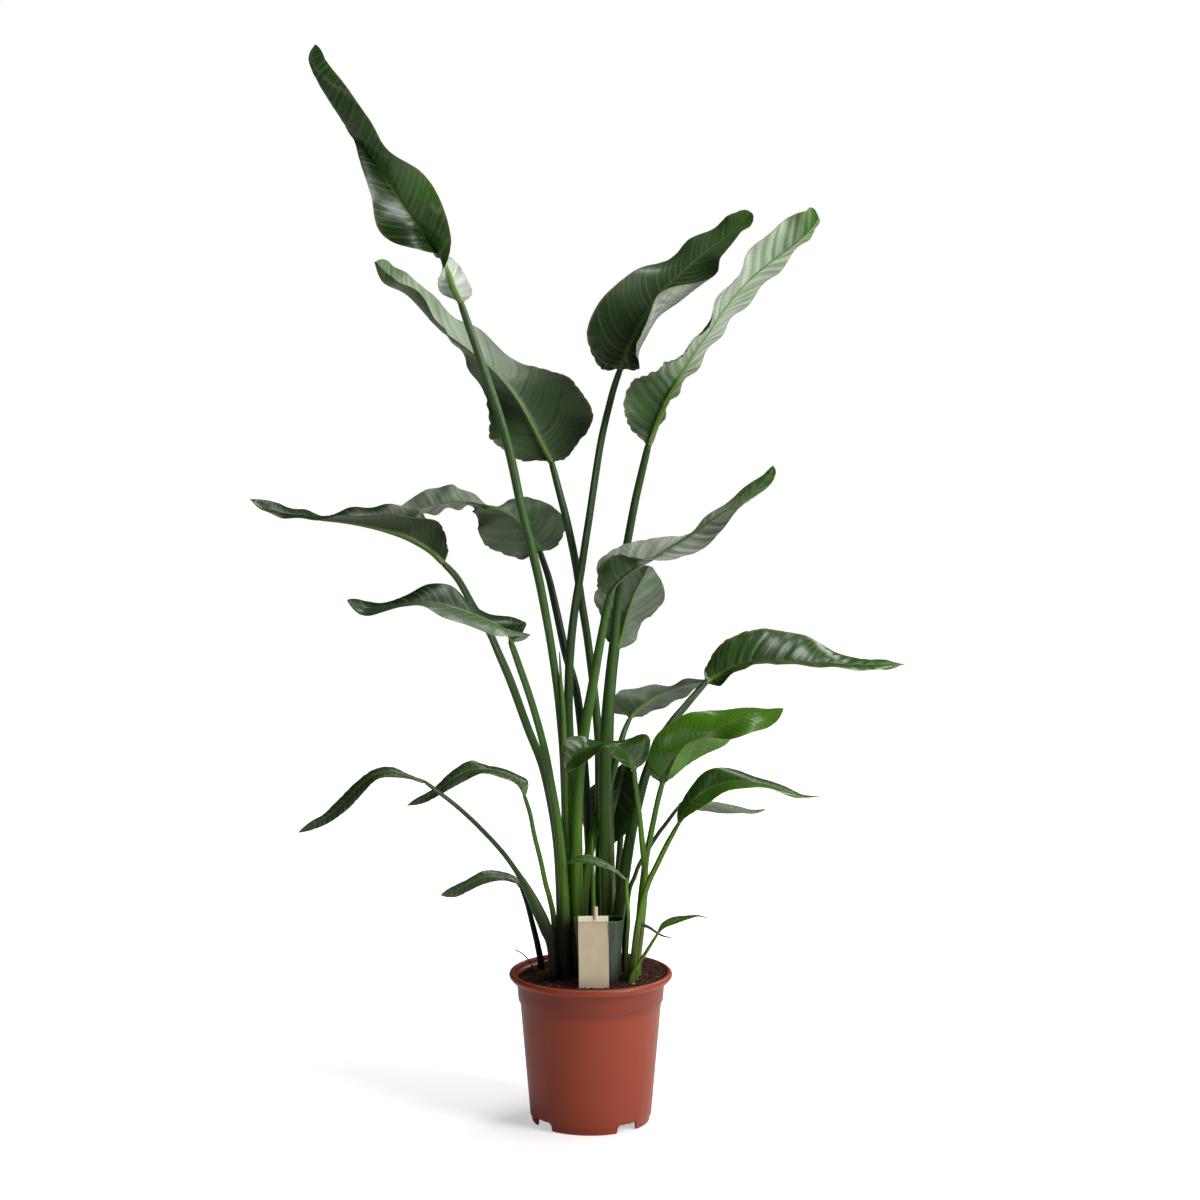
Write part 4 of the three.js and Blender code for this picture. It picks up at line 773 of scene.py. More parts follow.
# At each point of a stalk: across, up and depth of its middle in the front view, and its half width.
STALKS = {
    "left_1": [[-31, 152, 6, 10], [-32, 300, 6, 10], [-33, 400, 4, 8.8], [-36, 480, 2, 7.4],
        [-40, 550, 0, 6.2], [-47, 625, -3, 5.6], [-57, 700, -6, 5.8], [-75, 800, -12, 6.3],
        [-98, 895, -18, 6.4], [-121, 1000, -25, 6.3], [-153, 1100, -32, 6], [-185, 1194, -38, 5]],
    "left_2": [[12, 152, 34, 8.5], [13, 300, 34, 8.5], [14, 400, 36, 7.5], [13, 500, 38, 7],
        [11, 570, 40, 6.4], [5, 635, 43, 6], [-3, 700, 46, 5.8], [-13, 765, 50, 5.8], [-23, 830, 54, 5.8],
        [-35, 885, 58, 5.6], [-46, 928, 62, 5.2], [-56, 966, 66, 4.6]],
    "left_3": [[-20, 152, 26, 9], [-22, 300, 26, 8.5], [-26, 450, 27, 7.5], [-30, 540, 28, 7],
        [-32, 620, 29, 6.6], [-29, 700, 31, 6.3], [-22, 760, 33, 5.9], [-12, 820, 35, 5.6],
        [0, 900, 36, 5.4], [14, 990, 37, 5.2], [30, 1060, 38, 4.9], [42, 1098, 38, 4.5]],
    "left_4": [[24, 152, 6, 10], [24, 260, 6, 10], [24, 330, 6, 10], [22, 400, 6, 9], [20, 470, 6, 9],
        [21, 540, 6, 9], [25, 620, 6, 7.8], [33, 700, 7, 7], [39, 760, 8, 6.3], [48, 820, 9, 6],
        [61, 895, 10, 5.8], [73, 950, 10, 5.5], [83, 991, 10, 5]],
    "left_5": [[-42, 152, -12, 8.5], [-42, 300, -12, 8.5], [-44, 360, -12, 8], [-48, 415, -13, 7.5],
        [-55, 460, -14, 7], [-69, 523, -15, 6.5], [-90, 578, -18, 6], [-116, 650, -25, 6],
        [-133, 690, -30, 5.6], [-148, 724, -33, 5.2], [-170, 760, -37, 5.2], [-192, 799, -45, 5],
        [-212, 821, -54, 4.5]],
    "left_6": [[-38, 152, -34, 7.5], [-38, 300, -35, 7.5], [-42, 380, -36, 7], [-48, 440, -38, 6.5],
        [-56, 490, -41, 6], [-66, 545, -45, 5.5], [-77, 590, -50, 5.3], [-91, 636, -58, 5.2],
        [-103, 671, -67, 5], [-115, 705, -78, 4.5]],
    "left_7": [[0, 152, 58, 7], [0, 300, 58, 7], [-3, 420, 60, 6.5], [-9, 520, 64, 6.5],
        [-19, 626, 70, 6], [-37, 694, 78, 6], [-52, 764, 88, 5.5], [-61, 802, 94, 5], [-73, 838, 100, 4.5]],
    "right_1": [[-20, 152, -18, 9], [-20, 300, -18, 9], [-20, 440, -18, 8], [-16, 510, -20, 7.5],
        [-8, 581, -24, 7.5], [4, 648, -30, 7], [16, 718, -40, 6], [27, 771, -48, 5]],
    "right_2": [[32, 152, 40, 7], [30, 300, 40, 7], [28, 420, 41, 6.5], [27, 540, 42, 6],
        [30, 620, 44, 5.5], [34, 665, 46, 5], [38, 697, 48, 4.5]],
    "right_3": [[32, 152, -14, 9.5], [36, 260, -14, 9.5], [42, 315, -14, 9], [49, 365, -13, 8.5],
        [55, 403, -11, 8], [62, 440, -8, 7.5], [71, 478, -5, 7], [82, 518, 2, 6.6], [100, 562, 14, 6],
        [119, 591, 27, 5.6], [134, 609, 42, 5.3], [148, 626, 58, 5], [167, 648, 72, 4.5]],
    "right_5": [[66, 152, -20, 6], [68, 230, -20, 6], [72, 300, -21, 6], [77, 355, -24, 5.5],
        [81, 391, -30, 4.8], [86, 416, -37, 4.4], [91, 441, -46, 4.2], [97, 471, -59, 4],
        [104, 499, -70, 4]],
    "right_6": [[-10, 152, 8, 7.5], [-12, 284, 8, 7.5], [-8, 357, 8, 7.5], [1, 411, 10, 7],
        [15, 466, 22, 6], [26, 495, 25, 5.5], [36, 530, 31, 5], [47, 571, 46, 4.3], [57, 595, 62, 3.4]],
    "right_7": [[58, 152, -42, 8], [61, 205, -42, 8], [67, 246, -42, 7.6], [71, 280, -42, 7.2],
        [75, 314, -42, 6.6], [78, 344, -43, 5.8], [79, 374, -44, 5], [76, 405, -46, 4.4],
        [72, 445, -49, 3.8], [66, 492, -54, 3.6], [63, 521, -58, 3.6]],
    "right_8": [[60, 152, -60, 4.5], [61, 215, -60, 4.5], [65, 262, -60, 4.5], [70, 298, -61, 4.5],
        [77, 330, -62, 4.3], [86, 357, -63, 4.1], [97, 380, -65, 4], [110, 407, -66, 3.8],
        [128, 440, -68, 3.2]],
    "right_9": [[48, 152, -4, 3.6], [49, 250, -4, 3.6], [53, 315, -3, 3.6], [57, 344, -2, 3.4],
        [64, 361, 0, 3.2], [72, 382, 3, 3.1], [95, 420, 8, 3], [109, 439, 11, 2.9], [125, 461, 14, 2.7]],
    "right_dark": [[34, 152, 66, 4.5], [36, 300, 76, 4.5], [42, 400, 92, 4.5], [48, 470, 98, 4.4],
        [54, 512, 97, 4.2], [56, 528, 93, 4], [50, 532, 88, 3.8]],
    "front_small": [[46, 152, -52, 3.2], [51, 225, -52, 3.2], [53, 267, -53, 3], [55, 301, -55, 2.9],
        [53, 331, -59, 2.8], [52, 356, -62, 2.7]],
    "right_small": [[56, 152, -70, 3.5], [58, 208, -70, 3.5], [68, 228, -72, 3], [80, 247, -74, 2.6],
        [98, 277, -78, 2.2]],
    "left_low_1": [[-68, 152, 42, 5], [-72, 225, 42, 5], [-78, 262, 38, 4.5], [-86, 295, 30, 4],
        [-94, 325, 20, 3.6], [-102, 347, 10, 3]],
    "left_low_2": [[-52, 152, -30, 4.5], [-52, 240, -30, 4.5], [-54, 297, -32, 4.2], [-60, 330, -36, 3.9],
        [-66, 352, -39, 3.7], [-73, 386, -43, 3.5], [-82, 424, -49, 3.3], [-88, 454, -54, 3.1],
        [-96, 480, -58, 3]],
    "left_low_3": [[-52, 152, -48, 6], [-56, 250, -48, 7], [-66, 285, -50, 9], [-79, 315, -53, 8.5],
        [-93, 344, -56, 6], [-108, 369, -59, 4], [-130, 400, -64, 3.6], [-162, 435, -71, 3.4],
        [-194, 465, -78, 3.2], [-219, 485, -84, 3], [-240, 501, -90, 2.8]],
}
# The sheath margins that show: the stalk, its heights from and to, and its angles there seen from above,
# where 90 degrees looks at the viewer, 0 to the left and 180 to the right
SHEATH_MARGINS = [
    ("left_1", 210, 470, 128, 168), ("left_1", 200, 300, 60, 40), ("left_3", 215, 455, 150, 40),
    ("left_4", 205, 430, 62, 130), ("left_4", 240, 520, 150, 175), ("left_5", 215, 420, 150, 60),
    ("left_6", 212, 440, 40, 120), ("right_1", 210, 505, 120, 160), ("right_3", 214, 400, 115, 60),
    ("right_3", 205, 300, 70, 160), ("right_7", 212, 402, 118, 75), ("right_7", 210, 350, 60, 25),
    ("right_5", 212, 330, 140, 100), ("right_8", 214, 300, 90, 130), ("left_low_3", 212, 305, 80, 120),
    ("right_6", 220, 400, 100, 60),
]
# How dark a stalk's foot is, from 0, fresh, to 1, in the old sheaths at the left; partly the sheaths' own
# dark and partly painted shade; 0.3 where it isn't named
FOOT_SHADE = {
    "left_1": 0.8, "left_3": 0.95, "left_5": 1.0, "left_6": 1.0, "right_1": 0.9, "left_low_1": 0.9,
    "left_low_2": 0.9, "left_low_3": 0.85, "left_4": 0.35, "right_6": 0.6, "left_7": 0.7, "left_2": 0.7,
    "right_2": 0.5, "right_3": 0.25, "right_dark": 0.9,
}
# How much darker than a fresh stalk one is all along; 0 where it isn't named
STALK_DARK = {
    "left_2": 0.35, "left_3": 0.45, "left_4": 0.3, "left_5": 0.5, "left_6": 0.2, "left_7": 0.8,
    "right_2": 0.6, "right_3": 0.7, "right_6": 0.4, "right_8": 0.2, "right_9": 0.7, "right_dark": 0.85,
    "left_low_1": 0.7, "left_low_2": 0.3, "left_low_3": 0.8,
}
# How grey with bloom a stalk is, from 0, bright green, to 1; 0.2 where it isn't named
STALK_BLOOM = {
    "left_1": 0.45, "left_2": 0.5, "left_3": 0.75, "left_4": 0.35, "left_5": 0.45, "left_6": 0.4,
    "left_7": 0.9, "right_1": 0.1, "right_2": 0.2, "right_3": 0.5, "right_9": 0.9, "right_dark": 0.7,
}
# The stalks whose groove faces away from the viewer, as the upper sides of their blades do
GROOVE_BEHIND = ("left_1", "left_2", "left_4", "left_7", "right_1", "right_2", "right_6", "right_9")


def seen(across, up, depth):
    """A point read in the front view, moved along its line of sight to its own depth."""
    flat = np.stack([across, np.zeros_like(across), up], axis=-1) - EYE
    return EYE + ((depth - EYE[1]) / -EYE[1])[..., None] * flat


def along(values, parts):
    """A smooth curve through values or points, read at parts from 0 to 1."""
    values = np.asarray(values, float)
    flat = values.ndim == 1
    if flat:
        values = values[:, None]
    place = np.clip(parts, 0, 1) * (len(values) - 1)
    index = np.minimum(place.astype(int), len(values) - 2)
    t = (place - index)[:, None]
    before, start, end, after = (values[np.clip(index + step, 0, len(values) - 1)] for step in (-1, 0, 1, 2))
    curve = start + 0.5 * t * (
        end - before
        + t * (2 * before - 5 * start + 4 * end - after + t * (3 * (start - end) + after - before))
    )
    return curve[:, 0] if flat else curve


def path_length(points):
    """The length of a path of points."""
    return float(np.linalg.norm(np.diff(points, axis=0), axis=1).sum())


def stem_frame(points, section, sides):
    """Middles and radii along a stem, its tangents, side and front directions, and the angles round it."""
    points = np.array(points, float)
    middles = seen(points[:, 0], points[:, 1], points[:, 2])
    sections = max(int(path_length(middles) / section), 12)
    parts = np.linspace(0, 1, sections)
    tangents = unit(along(middles, parts + 0.01) - along(middles, parts - 0.01))
    side = unit(np.cross((0, -1, 0), tangents))
    front = np.cross(tangents, side)
    turns = 2 * math.pi * np.arange(sides) / sides
    return along(middles, parts), along(points[:, 3], parts), tangents, side, front, turns


def turn_apart(turns, middle):
    """How far angles round a stem lie from one of them, from minus to plus half a turn."""
    return (turns - middle + math.pi) % (2 * math.pi) - math.pi


def near_angle(turns, middle, half_width):
    """1 at an angle round the stem and 0 away from it."""
    return np.exp(-(turn_apart(turns, middle) / half_width) ** 2)


def sheath_relief(name, middles, radii, turns):
    """The raised margins of a stalk's sheath: their height, and where they are."""
    height = middles[:, 2:3]
    raised = np.zeros((len(middles), len(turns)))
    margin = np.zeros_like(raised)
    for stalk, low, high, low_degrees, high_degrees in SHEATH_MARGINS:
        if stalk != name:
            continue
        part = (height - low) / (high - low)
        angle = np.radians(low_degrees + (high_degrees - low_degrees) * np.clip(part, 0, 1) ** 1.3)
        shown = np.clip(12 * np.minimum(part + 0.03, 1 - part), 0, 1)
        line = near_angle(turns, angle, MARGIN_WIDTH / radii[:, None]) * shown
        flap = np.where(turn_apart(turns, angle) > 0, near_angle(turns, angle, MARGIN_FLAP_ANGLE), 0) * shown
        raised += MARGIN_HEIGHT * (line + 0.8 * flap)
        margin = np.maximum(margin, line)
    return raised, margin


def stalk_shape(name, points, groove_angle):
    """Points, faces and the margin marks of a stalk."""
    middles, radii, tangents, side, front, turns = stem_frame(points, STALK_SECTION, STALK_SIDES)
    part = np.linspace(0, 1, len(middles))[:, None]
    height = middles[:, 2:3]
    groove = near_angle(turns, groove_angle, GROOVE_HALF_ANGLE)
    rims = sum(near_angle(turns, groove_angle + apart, GROOVE_RIM_HALF_ANGLE)
               for apart in (-GROOVE_RIM_ANGLE, GROOVE_RIM_ANGLE))
    depth = GROOVE_DEPTH * np.clip((part - 0.15) * 2, 0, 1)
    raised, margin = sheath_relief(name, middles, radii, turns)
    wobble = 0.12 * np.sin(height / 31 + 3 * turns) + 0.08 * np.sin(height / 13 + turns)
    radius = radii[:, None] * (1 - depth * groove + 0.3 * depth * rims) + raised + wobble
    radius *= 0.75 + 0.25 * np.sqrt(np.clip((1 - part) * len(middles) / 2.5, 0, 1))
    middles[-1] += STALK_TUCK * tangents[-1]
    return *closed_loft(rings_round(middles, radius, side, front, turns)), np.append(margin, [0, 0])


# Fine lines that run along a stalk, a sheath or the grain of wood
line_tree, start, end = group_tree("long_lines", {
    "Place": ("Vector", None), "Scale": ("Float", 300.0), "Stretch": ("Float", 0.03),
}, ["Value"])
line_stretch = add_node(line_tree, "CombineXYZ", {0: 1.0, 1: 1.0, 2: start["Stretch"]}).outputs["Vector"]
line_place = add_node(line_tree, "VectorMath", {0: start["Place"], 1: line_stretch}, operation="MULTIPLY")
line_noise = add_node(line_tree, "TexNoise", {
    "Vector": line_place.outputs["Vector"], "Scale": start["Scale"], "Detail": 3.0,
})
line_tree.links.new(ease(line_tree, line_noise.outputs["Fac"], 0.35, 0.65), end["Value"])


def long_lines(tree, place, scale, stretch):
    """Upright lines of a fineness, as a value between 0 and 1."""
    return use_group(tree, line_tree, {"Place": place, "Scale": scale, "Stretch": stretch})["Value"]


def stalk_material(name, low, middle, high, bloom, gloss):
    """The skin of a stalk: three greens with height, bloom, lengthwise lines, brown margins and dark feet."""
    material, tree = new_material(name)
    place = object_place(tree)
    height = height_of(tree, place)
    cloud = clouds(tree, place, 14.0)
    lines = long_lines(tree, place, 650.0, 0.02)
    broad = long_lines(tree, place, 160.0, 0.04)
    spots = times(tree, specks(tree, place, 260.0, 0.22, 0.05), ease(tree, height, 0.6, 0.3))
    blush = times(tree, broad, ease(tree, height, 0.33, 0.23))
    # Painted shade on the stalks' feet low among the sheaths, together with the sheaths' own dark.
    foot = times(tree, stored(tree, "shade"), ease(tree, height, 0.36, 0.285))
    colour = mix_colour(tree, ease(tree, height, 0.26, 0.52), linear(*low), linear(*middle))
    colour = tint(tree, colour, ease(tree, height, 0.5, 0.95), 1, high)
    colour = tint(tree, colour, stored(tree, "bloom"), ease(tree, height, 0.35, 0.8), bloom)
    colour = tint(tree, colour, cloud, 0.25, middle)
    colour = tint(tree, colour, broad, 0.2, (52, 78, 28))
    colour = tint(tree, colour, lines, 0.09, (140, 172, 80))
    colour = tint(tree, colour, stored(tree, "dark"), 1, (14, 36, 12))
    colour = tint(tree, colour, spots, 0.4, (88, 62, 40))
    colour = tint(tree, colour, blush, 0.4, (96, 56, 34))
    colour = tint(tree, colour, stored(tree, "margin"), 0.7, (112, 76, 48))
    colour = tint(tree, colour, foot, 0.94, (13, 17, 9))
    roughness = ease(tree, cloud, 0.0, 1.0, gloss - 0.05, gloss + 0.08)
    roughness = calculate(tree, "MULTIPLY_ADD", foot, 0.4, roughness)
    relief = bump(tree, broad, 0.3, 0.3, bump(tree, lines, 0.3, 0.12))
    finish_material(tree, colour, roughness, relief, specular_ior_level=0.32)
    return material


stalk_skin = stalk_material(
    "leaf_stalk_skin", (100, 146, 12), (58, 106, 12), (38, 76, 18), (70, 92, 64), 0.34,
)
for name, points in STALKS.items():
    groove_angle = GROOVE_TO_VIEWER + (math.pi if name in GROOVE_BEHIND else GROOVE_TURN)
    shape, faces, margin = stalk_shape(name, points, groove_angle)
    stalk = make_piece(f"stalk_{name}_skin", shape, faces, stalk_skin, "leaf_stalk", f"stalk_{name}")
    store(stalk, "margin", margin)
    store(stalk, "bloom", STALK_BLOOM.get(name, 0.2))
    store(stalk, "shade", FOOT_SHADE.get(name, 0.3))
    store(stalk, "dark", STALK_DARK.get(name, 0.0))

# Blades
# Leathery paddle-shaped leaf blades, each grown from the end of its stalk. The stalk runs on as the midrib,
# fine side veins curve from it to the margin, and the two halves fold, twist and curl as they hang.
BLADE_CUP = 0.07
BLADE_HALF_THICKNESS = 0.35
BLADE_STATION = 3.2
BLADE_COLUMNS = 22
SMALL_BLADE = 25
SMALL_STATION = 2.24
SMALL_COLUMNS = 13
TIP_HALF_WIDTH = 1
TIP_ROWS = (0.6, 0.3, 0.1, 0)
CRINKLE_PITCH = 13
BITE_PITCH = 7
SMOOTH_CRINKLE = 0.2
SMOOTH_BITES = 0.1
VEIN_PITCH = 8.5
VEIN_RELIEF = 0.42
PLEAT_REACH = 34
RIB_TAPER = 1.1
RIB_GROOVE = 0.5
RIB_START = 24
# Age added to a blade's far half as painted shade
FAR_SIDE_SHADE = 0.5
DRY_TIP_LENGTH = 9

# For each blade: the widest that its half is, 1 or -1 as its upper or its under side looks at the viewer, and
# how many waves of what height its margins have. Each row holds a point of the rib (across, up, depth), then
# of the left and the right edge (across, up, lean). A lean of 1 turns that half's hidden width towards the
# viewer and -1 away. The last row is the tip, and belly rows say where a half folds round.
BLADES = {
    "left_1": {"half_width": 62, "upper": -1, "waves": 5, "ripple": 3, "rows": [
        [-185, 1194, -38, -189, 1195, 0, -181, 1193, 0],
        [-196, 1216, -42, -215, 1210, -0.3, -169, 1212, -0.3],
        [-206, 1242, -46, -212, 1236, 0.4, -198, 1256, -0.4],
        [-229, 1279, -50, -198, 1284, 0.5, -242, 1266, 0.6],
        [-256, 1318, -54, -212, 1336, 0.4, -297, 1291, 0.5],
        [-285, 1360, -58, -240, 1378, 0.4, -313, 1346, 0.5],
        [-316, 1404, -62, -290, 1412, 0.4, -327, 1400, 0.3],
        [-345, 1443, -66, -313, 1452, 0.4, -346, 1447, -0.4],
        [-377, 1492, -70, -346, 1499, 0.4, -378, 1497, -0.8],
        [-397, 1532, -73, -374, 1535, 0.4, -394, 1538, -0.6], [-388, 1555, -75]]},
    "left_2": {"half_width": 74, "upper": -1, "waves": 7, "ripple": 4, "rows": [
        [-56, 966, 66, -60, 967, 0, -52, 967, 0], [-67, 986, 70, -103, 971, -0.5, -24, 983, -0.5],
        [-84, 1019, 76, -144, 1000, -0.5, 3, 1036, -0.5], [-107, 1060, 82, -145, 1042, -0.7, -34, 1090, -0.5],
        [-138, 1097, 88, -168, 1092, -0.7, -92, 1104, -0.6],
        [-175, 1126, 92, -188, 1126, -0.5, -156, 1152, -0.7],
        [-216, 1156, 94, -214, 1166, 0.4, -206, 1184, -0.7],
        [-260, 1203, 92, -254, 1214, 0.6, -248, 1226, -0.6],
        [-295, 1222, 88, -290, 1234, 0.5, -281, 1245, -0.5], [-307, 1250, 84]]},
    "left_3": {"half_width": 66, "upper": 1, "waves": 5, "ripple": 3, "rows": [
        [42, 1098, 38, 38, 1100, 0, 46, 1100, 0], [51, 1124, 40, 12, 1102, 0.2, 69, 1101, 0.6],
        [64, 1150, 42, -5, 1148, -0.3, 68, 1137, 1], [82, 1180, 46, 18, 1203, -0.5, 88, 1188, 1],
        [104, 1211, 50, 62, 1236, -0.6, 114, 1215, 1], [132, 1238, 54, 112, 1258, -0.7, 178, 1231, 0.7],
        [160, 1262, 58, 146, 1284, -0.7, 186, 1262, 0.7], [190, 1284, 62, 180, 1304, -0.6, 214, 1289, 0.6],
        [212, 1303, 65, 206, 1320, -0.5, 228, 1306, 0.5], [227, 1321, 67]],
        "belly": {"side": "right", "rows": [
            [44, 1099], [62, 1108], [74, 1135], [94, 1170], [128, 1196], [158, 1229], [174, 1262],
            [202, 1286], [220, 1304], [227, 1321]]}},
    "left_4": {"half_width": 62, "upper": -1, "waves": 8, "ripple": 4, "rows": [
        [83, 991, 10, 79, 993, 0, 87, 992, 0], [94, 1020, 9, 60, 1012, 0.5, 99, 1019, -1],
        [105, 1045, 8, 46, 1046, 0.5, 111, 1046, -1], [117, 1068, 6, 64, 1086, 0.6, 125, 1067, -1],
        [131, 1095, 4, 104, 1102, 0.7, 144, 1091, -0.9], [148, 1124, 1, 132, 1124, 0.8, 166, 1121, -0.8],
        [168, 1152, -2, 160, 1150, 0.8, 188, 1152, -0.8], [188, 1182, -5, 180, 1193, 0.8, 212, 1180, -0.8],
        [222, 1222, -9, 211, 1238, 0.7, 243, 1213, -0.7], [258, 1252, -13, 238, 1279, 0.6, 272, 1243, -0.7],
        [290, 1276, -17, 278, 1311, 0.5, 303, 1277, -0.6], [312, 1296, -20, 306, 1323, 0.4, 320, 1297, -0.4],
        [324, 1313, -22]]},
    "left_5": {"half_width": 58, "upper": 1, "waves": 6, "ripple": 2, "rows": [
        [-212, 821, -54, -209, 823, 0, -213, 826, 0], [-231, 839, -60, -205, 850, 0.8, -226, 860, -0.8],
        [-261, 856, -67, -218, 878, 0.7, -246, 897, -0.7], [-294, 868, -75, -262, 890, 0.8, -282, 905, -0.7],
        [-327, 876, -83, -306, 890, 0.8, -314, 903, -0.7], [-358, 881, -90, -346, 889, 0.8, -348, 899, -0.7],
        [-388, 884, -98, -382, 885, 0.8, -386, 888, -0.8], [-416, 889, -105, -416, 884, 0.8, -414, 899, -0.8],
        [-444, 894, -112, -446, 888, 0.7, -442, 903, -0.7],
        [-469, 903, -117, -472, 897, 0.5, -462, 912, -0.5], [-489, 913, -120]]},
    "left_6": {"half_width": 50, "upper": 1, "waves": 3, "ripple": 2, "rows": [
        [-115, 705, -78, -112, 706, 0, -113, 709, 0], [-119, 713, -80, -98, 709, 0.5, -96, 722, -0.6],
        [-124, 722, -82, -87, 718, 0.7, -93, 735, -0.7], [-135, 731, -85, -116, 716, 0.8, -112, 741, -0.8],
        [-148, 738, -87, -142, 716, 0.8, -146, 746, -0.8], [-178, 750, -93, -179, 730, 0.8, -174, 766, -0.8],
        [-209, 760, -99, -212, 743, 0.8, -199, 788, -0.7], [-239, 765, -105, -240, 759, 0.9, -232, 789, -0.7],
        [-269, 762, -112, -270, 756, 0.9, -263, 776, -0.8],
        [-299, 758, -119, -301, 749, 0.8, -297, 765, -0.8],
        [-327, 756, -126, -329, 746, 0.6, -326, 766, -0.6], [-351, 767, -132]]},
    "left_7": {"half_width": 58, "upper": -1, "waves": 7, "ripple": 4, "rows": [
        [-73, 838, 100, -76, 838, 0, -70, 838, 0], [-84, 856, 103, -103, 827, -0.5, -42, 852, -0.5],
        [-102, 880, 104, -150, 846, -0.5, -40, 890, -0.6], [-128, 897, 104, -163, 878, -0.7, -86, 916, -0.6],
        [-158, 905, 102, -168, 899, -0.9, -142, 903, -0.9],
        [-190, 909, 105, -194, 900, -0.8, -183, 929, -0.7],
        [-221, 905, 110, -222, 893, -0.7, -212, 932, -0.6],
        [-250, 898, 116, -252, 888, -0.6, -246, 921, -0.6], [-283, 892, 121]]},
    "right_1": {"half_width": 52, "upper": -1, "waves": 4, "ripple": 2.5, "rows": [
        [27, 771, -48, 24, 773, 0, 31, 771, 0], [42, 792, -50, 8, 818, -0.3, 9, 790, 0.7],
        [63, 809, -52, 46, 847, -0.5, 26, 828, 0.7], [89, 824, -54, 92, 857, -0.5, 64, 829, 0.8],
        [117, 843, -56, 128, 861, -0.6, 116, 827, 0.8], [147, 863, -59, 151, 871, -0.8, 160, 838, 0.8],
        [178, 885, -62, 172, 892, -0.8, 186, 869, 0.8], [206, 903, -65, 198, 912, -0.8, 213, 898, 0.8],
        [232, 922, -68, 224, 931, -0.7, 243, 922, 0.7], [254, 945, -70, 248, 949, -0.5, 264, 946, 0.5],
        [262, 961, -71]]},
    "right_2": {"half_width": 58, "upper": -1, "waves": 5, "ripple": 3, "rows": [
        [38, 697, 48, 35, 699, 0, 42, 697, 0], [44, 714, 50, 20, 714, -0.5, 62, 706, -0.5],
        [49, 734, 53, 13, 744, -0.6, 78, 738, -0.6], [55, 755, 56, 5, 774, -0.5, 104, 761, -0.5],
        [63, 777, 59, 22, 795, -0.5, 106, 786, -0.5], [74, 798, 62, 54, 811, -0.5, 95, 806, -0.5],
        [84, 817, 64]]},
    "right_3": {"half_width": 60, "upper": 1, "waves": 6, "ripple": 1.5, "rows": [
        [167, 648, 72, 165, 651, 0, 170, 646, 0], [182, 656, 76, 166, 671, -0.7, 189, 643, 0.7],
        [205, 668, 81, 187, 702, -0.7, 208, 662, 0.9], [233, 676, 87, 222, 722, -0.6, 236, 672, 0.9],
        [266, 678, 92, 260, 725, -0.6, 268, 675, 0.9], [300, 677, 97, 298, 719, -0.6, 302, 672, 0.9],
        [335, 675, 102, 333, 705, -0.7, 337, 670, 0.9], [370, 673, 107, 366, 686, -0.8, 372, 667, 0.8],
        [404, 673, 112, 403, 682, -0.8, 406, 665, 0.7], [432, 674, 116, 431, 679, -0.6, 433, 667, 0.6],
        [453, 674, 120]]},
    "right_5": {"half_width": 56, "upper": 1, "waves": 3, "ripple": 2, "rows": [
        [104, 499, -70, 101, 501, 0, 108, 499, 0], [109, 519, -73, 84, 521, -0.5, 114, 517, 0.7],
        [122, 539, -76, 91, 566, -0.5, 127, 542, 0.7], [143, 556, -79, 127, 595, -0.6, 147, 561, 0.8],
        [168, 570, -82, 160, 606, -0.6, 176, 567, 0.8], [194, 585, -84, 196, 609, -0.6, 206, 563, 0.7],
        [221, 595, -86, 228, 609, -0.6, 238, 576, 0.6], [250, 600, -88, 256, 610, -0.5, 264, 586, 0.5],
        [279, 609, -89]],
        "belly": {"side": "right", "rows": [
            [106, 499], [119, 509], [140, 526], [168, 543], [194, 556], [206, 570], [229, 588], [257, 594],
            [279, 609]]}},
    "right_6": {"half_width": 50, "upper": -1, "waves": 4, "ripple": 2.5, "rows": [
        [57, 595, 62, 55, 599, 0, 60, 595, 0], [64, 605, 64, 25, 606, -0.5, 68, 597, -0.6],
        [78, 616, 67, 40, 634, -0.6, 87, 603, -0.7], [96, 627, 72, 78, 642, -0.7, 109, 613, -0.7],
        [118, 637, 78, 112, 644, -0.8, 130, 623, -0.8], [143, 645, 84, 142, 652, -0.8, 150, 636, -0.8],
        [174, 651, 90]]},
    "right_7": {"half_width": 44, "upper": 1, "waves": 3, "ripple": 2, "rows": [
        [63, 521, -58, 60, 522, 0, 66, 522, 0], [57, 537, -62, 42, 531, 0.5, 84, 536, -0.5],
        [47, 549, -66, 32, 541, 0.7, 84, 570, -0.6], [34, 556, -70, 26, 550, 0.9, 52, 563, -0.8],
        [19, 557, -74, 16, 552, 0.9, 21, 560, -0.9], [0, 553, -78, 6, 542, 0.7, -2, 563, -0.7],
        [-18, 544, -82, -11, 527, 0.6, -19, 570, -0.5], [-31, 531, -85, -27, 518, 0.4, -39, 560, -0.4],
        [-38, 519, -87]]},
    "right_8": {"half_width": 34, "upper": 1, "waves": 3, "ripple": 2, "rows": [
        [128, 440, -68, 126, 442, 0, 130, 441, 0], [142, 464, -70, 130, 466, -0.7, 145, 455, 0.7],
        [164, 486, -72, 147, 499, -0.7, 173, 471, 0.7], [191, 499, -74, 172, 519, -0.6, 200, 488, 0.7],
        [220, 503, -76, 210, 520, -0.7, 228, 494, 0.7], [251, 499, -78, 245, 509, -0.7, 256, 491, 0.7],
        [281, 489, -80, 278, 495, -0.6, 284, 483, 0.6], [308, 481, -82, 308, 484, -0.5, 310, 478, 0.5],
        [332, 480, -84]]},
    "right_9": {"half_width": 22, "upper": -1, "waves": 2, "ripple": 1.5, "rows": [
        [125, 461, 14, 124, 464, 0, 127, 460, 0], [146, 466, 16, 136, 474, -0.6, 152, 459, -0.6],
        [176, 466, 18, 176, 474, -0.7, 181, 457, -0.7], [206, 461, 20, 205, 467, -0.7, 209, 455, -0.7],
        [232, 458, 22, 232, 462, -0.6, 234, 454, -0.6], [254, 461, 24]]},
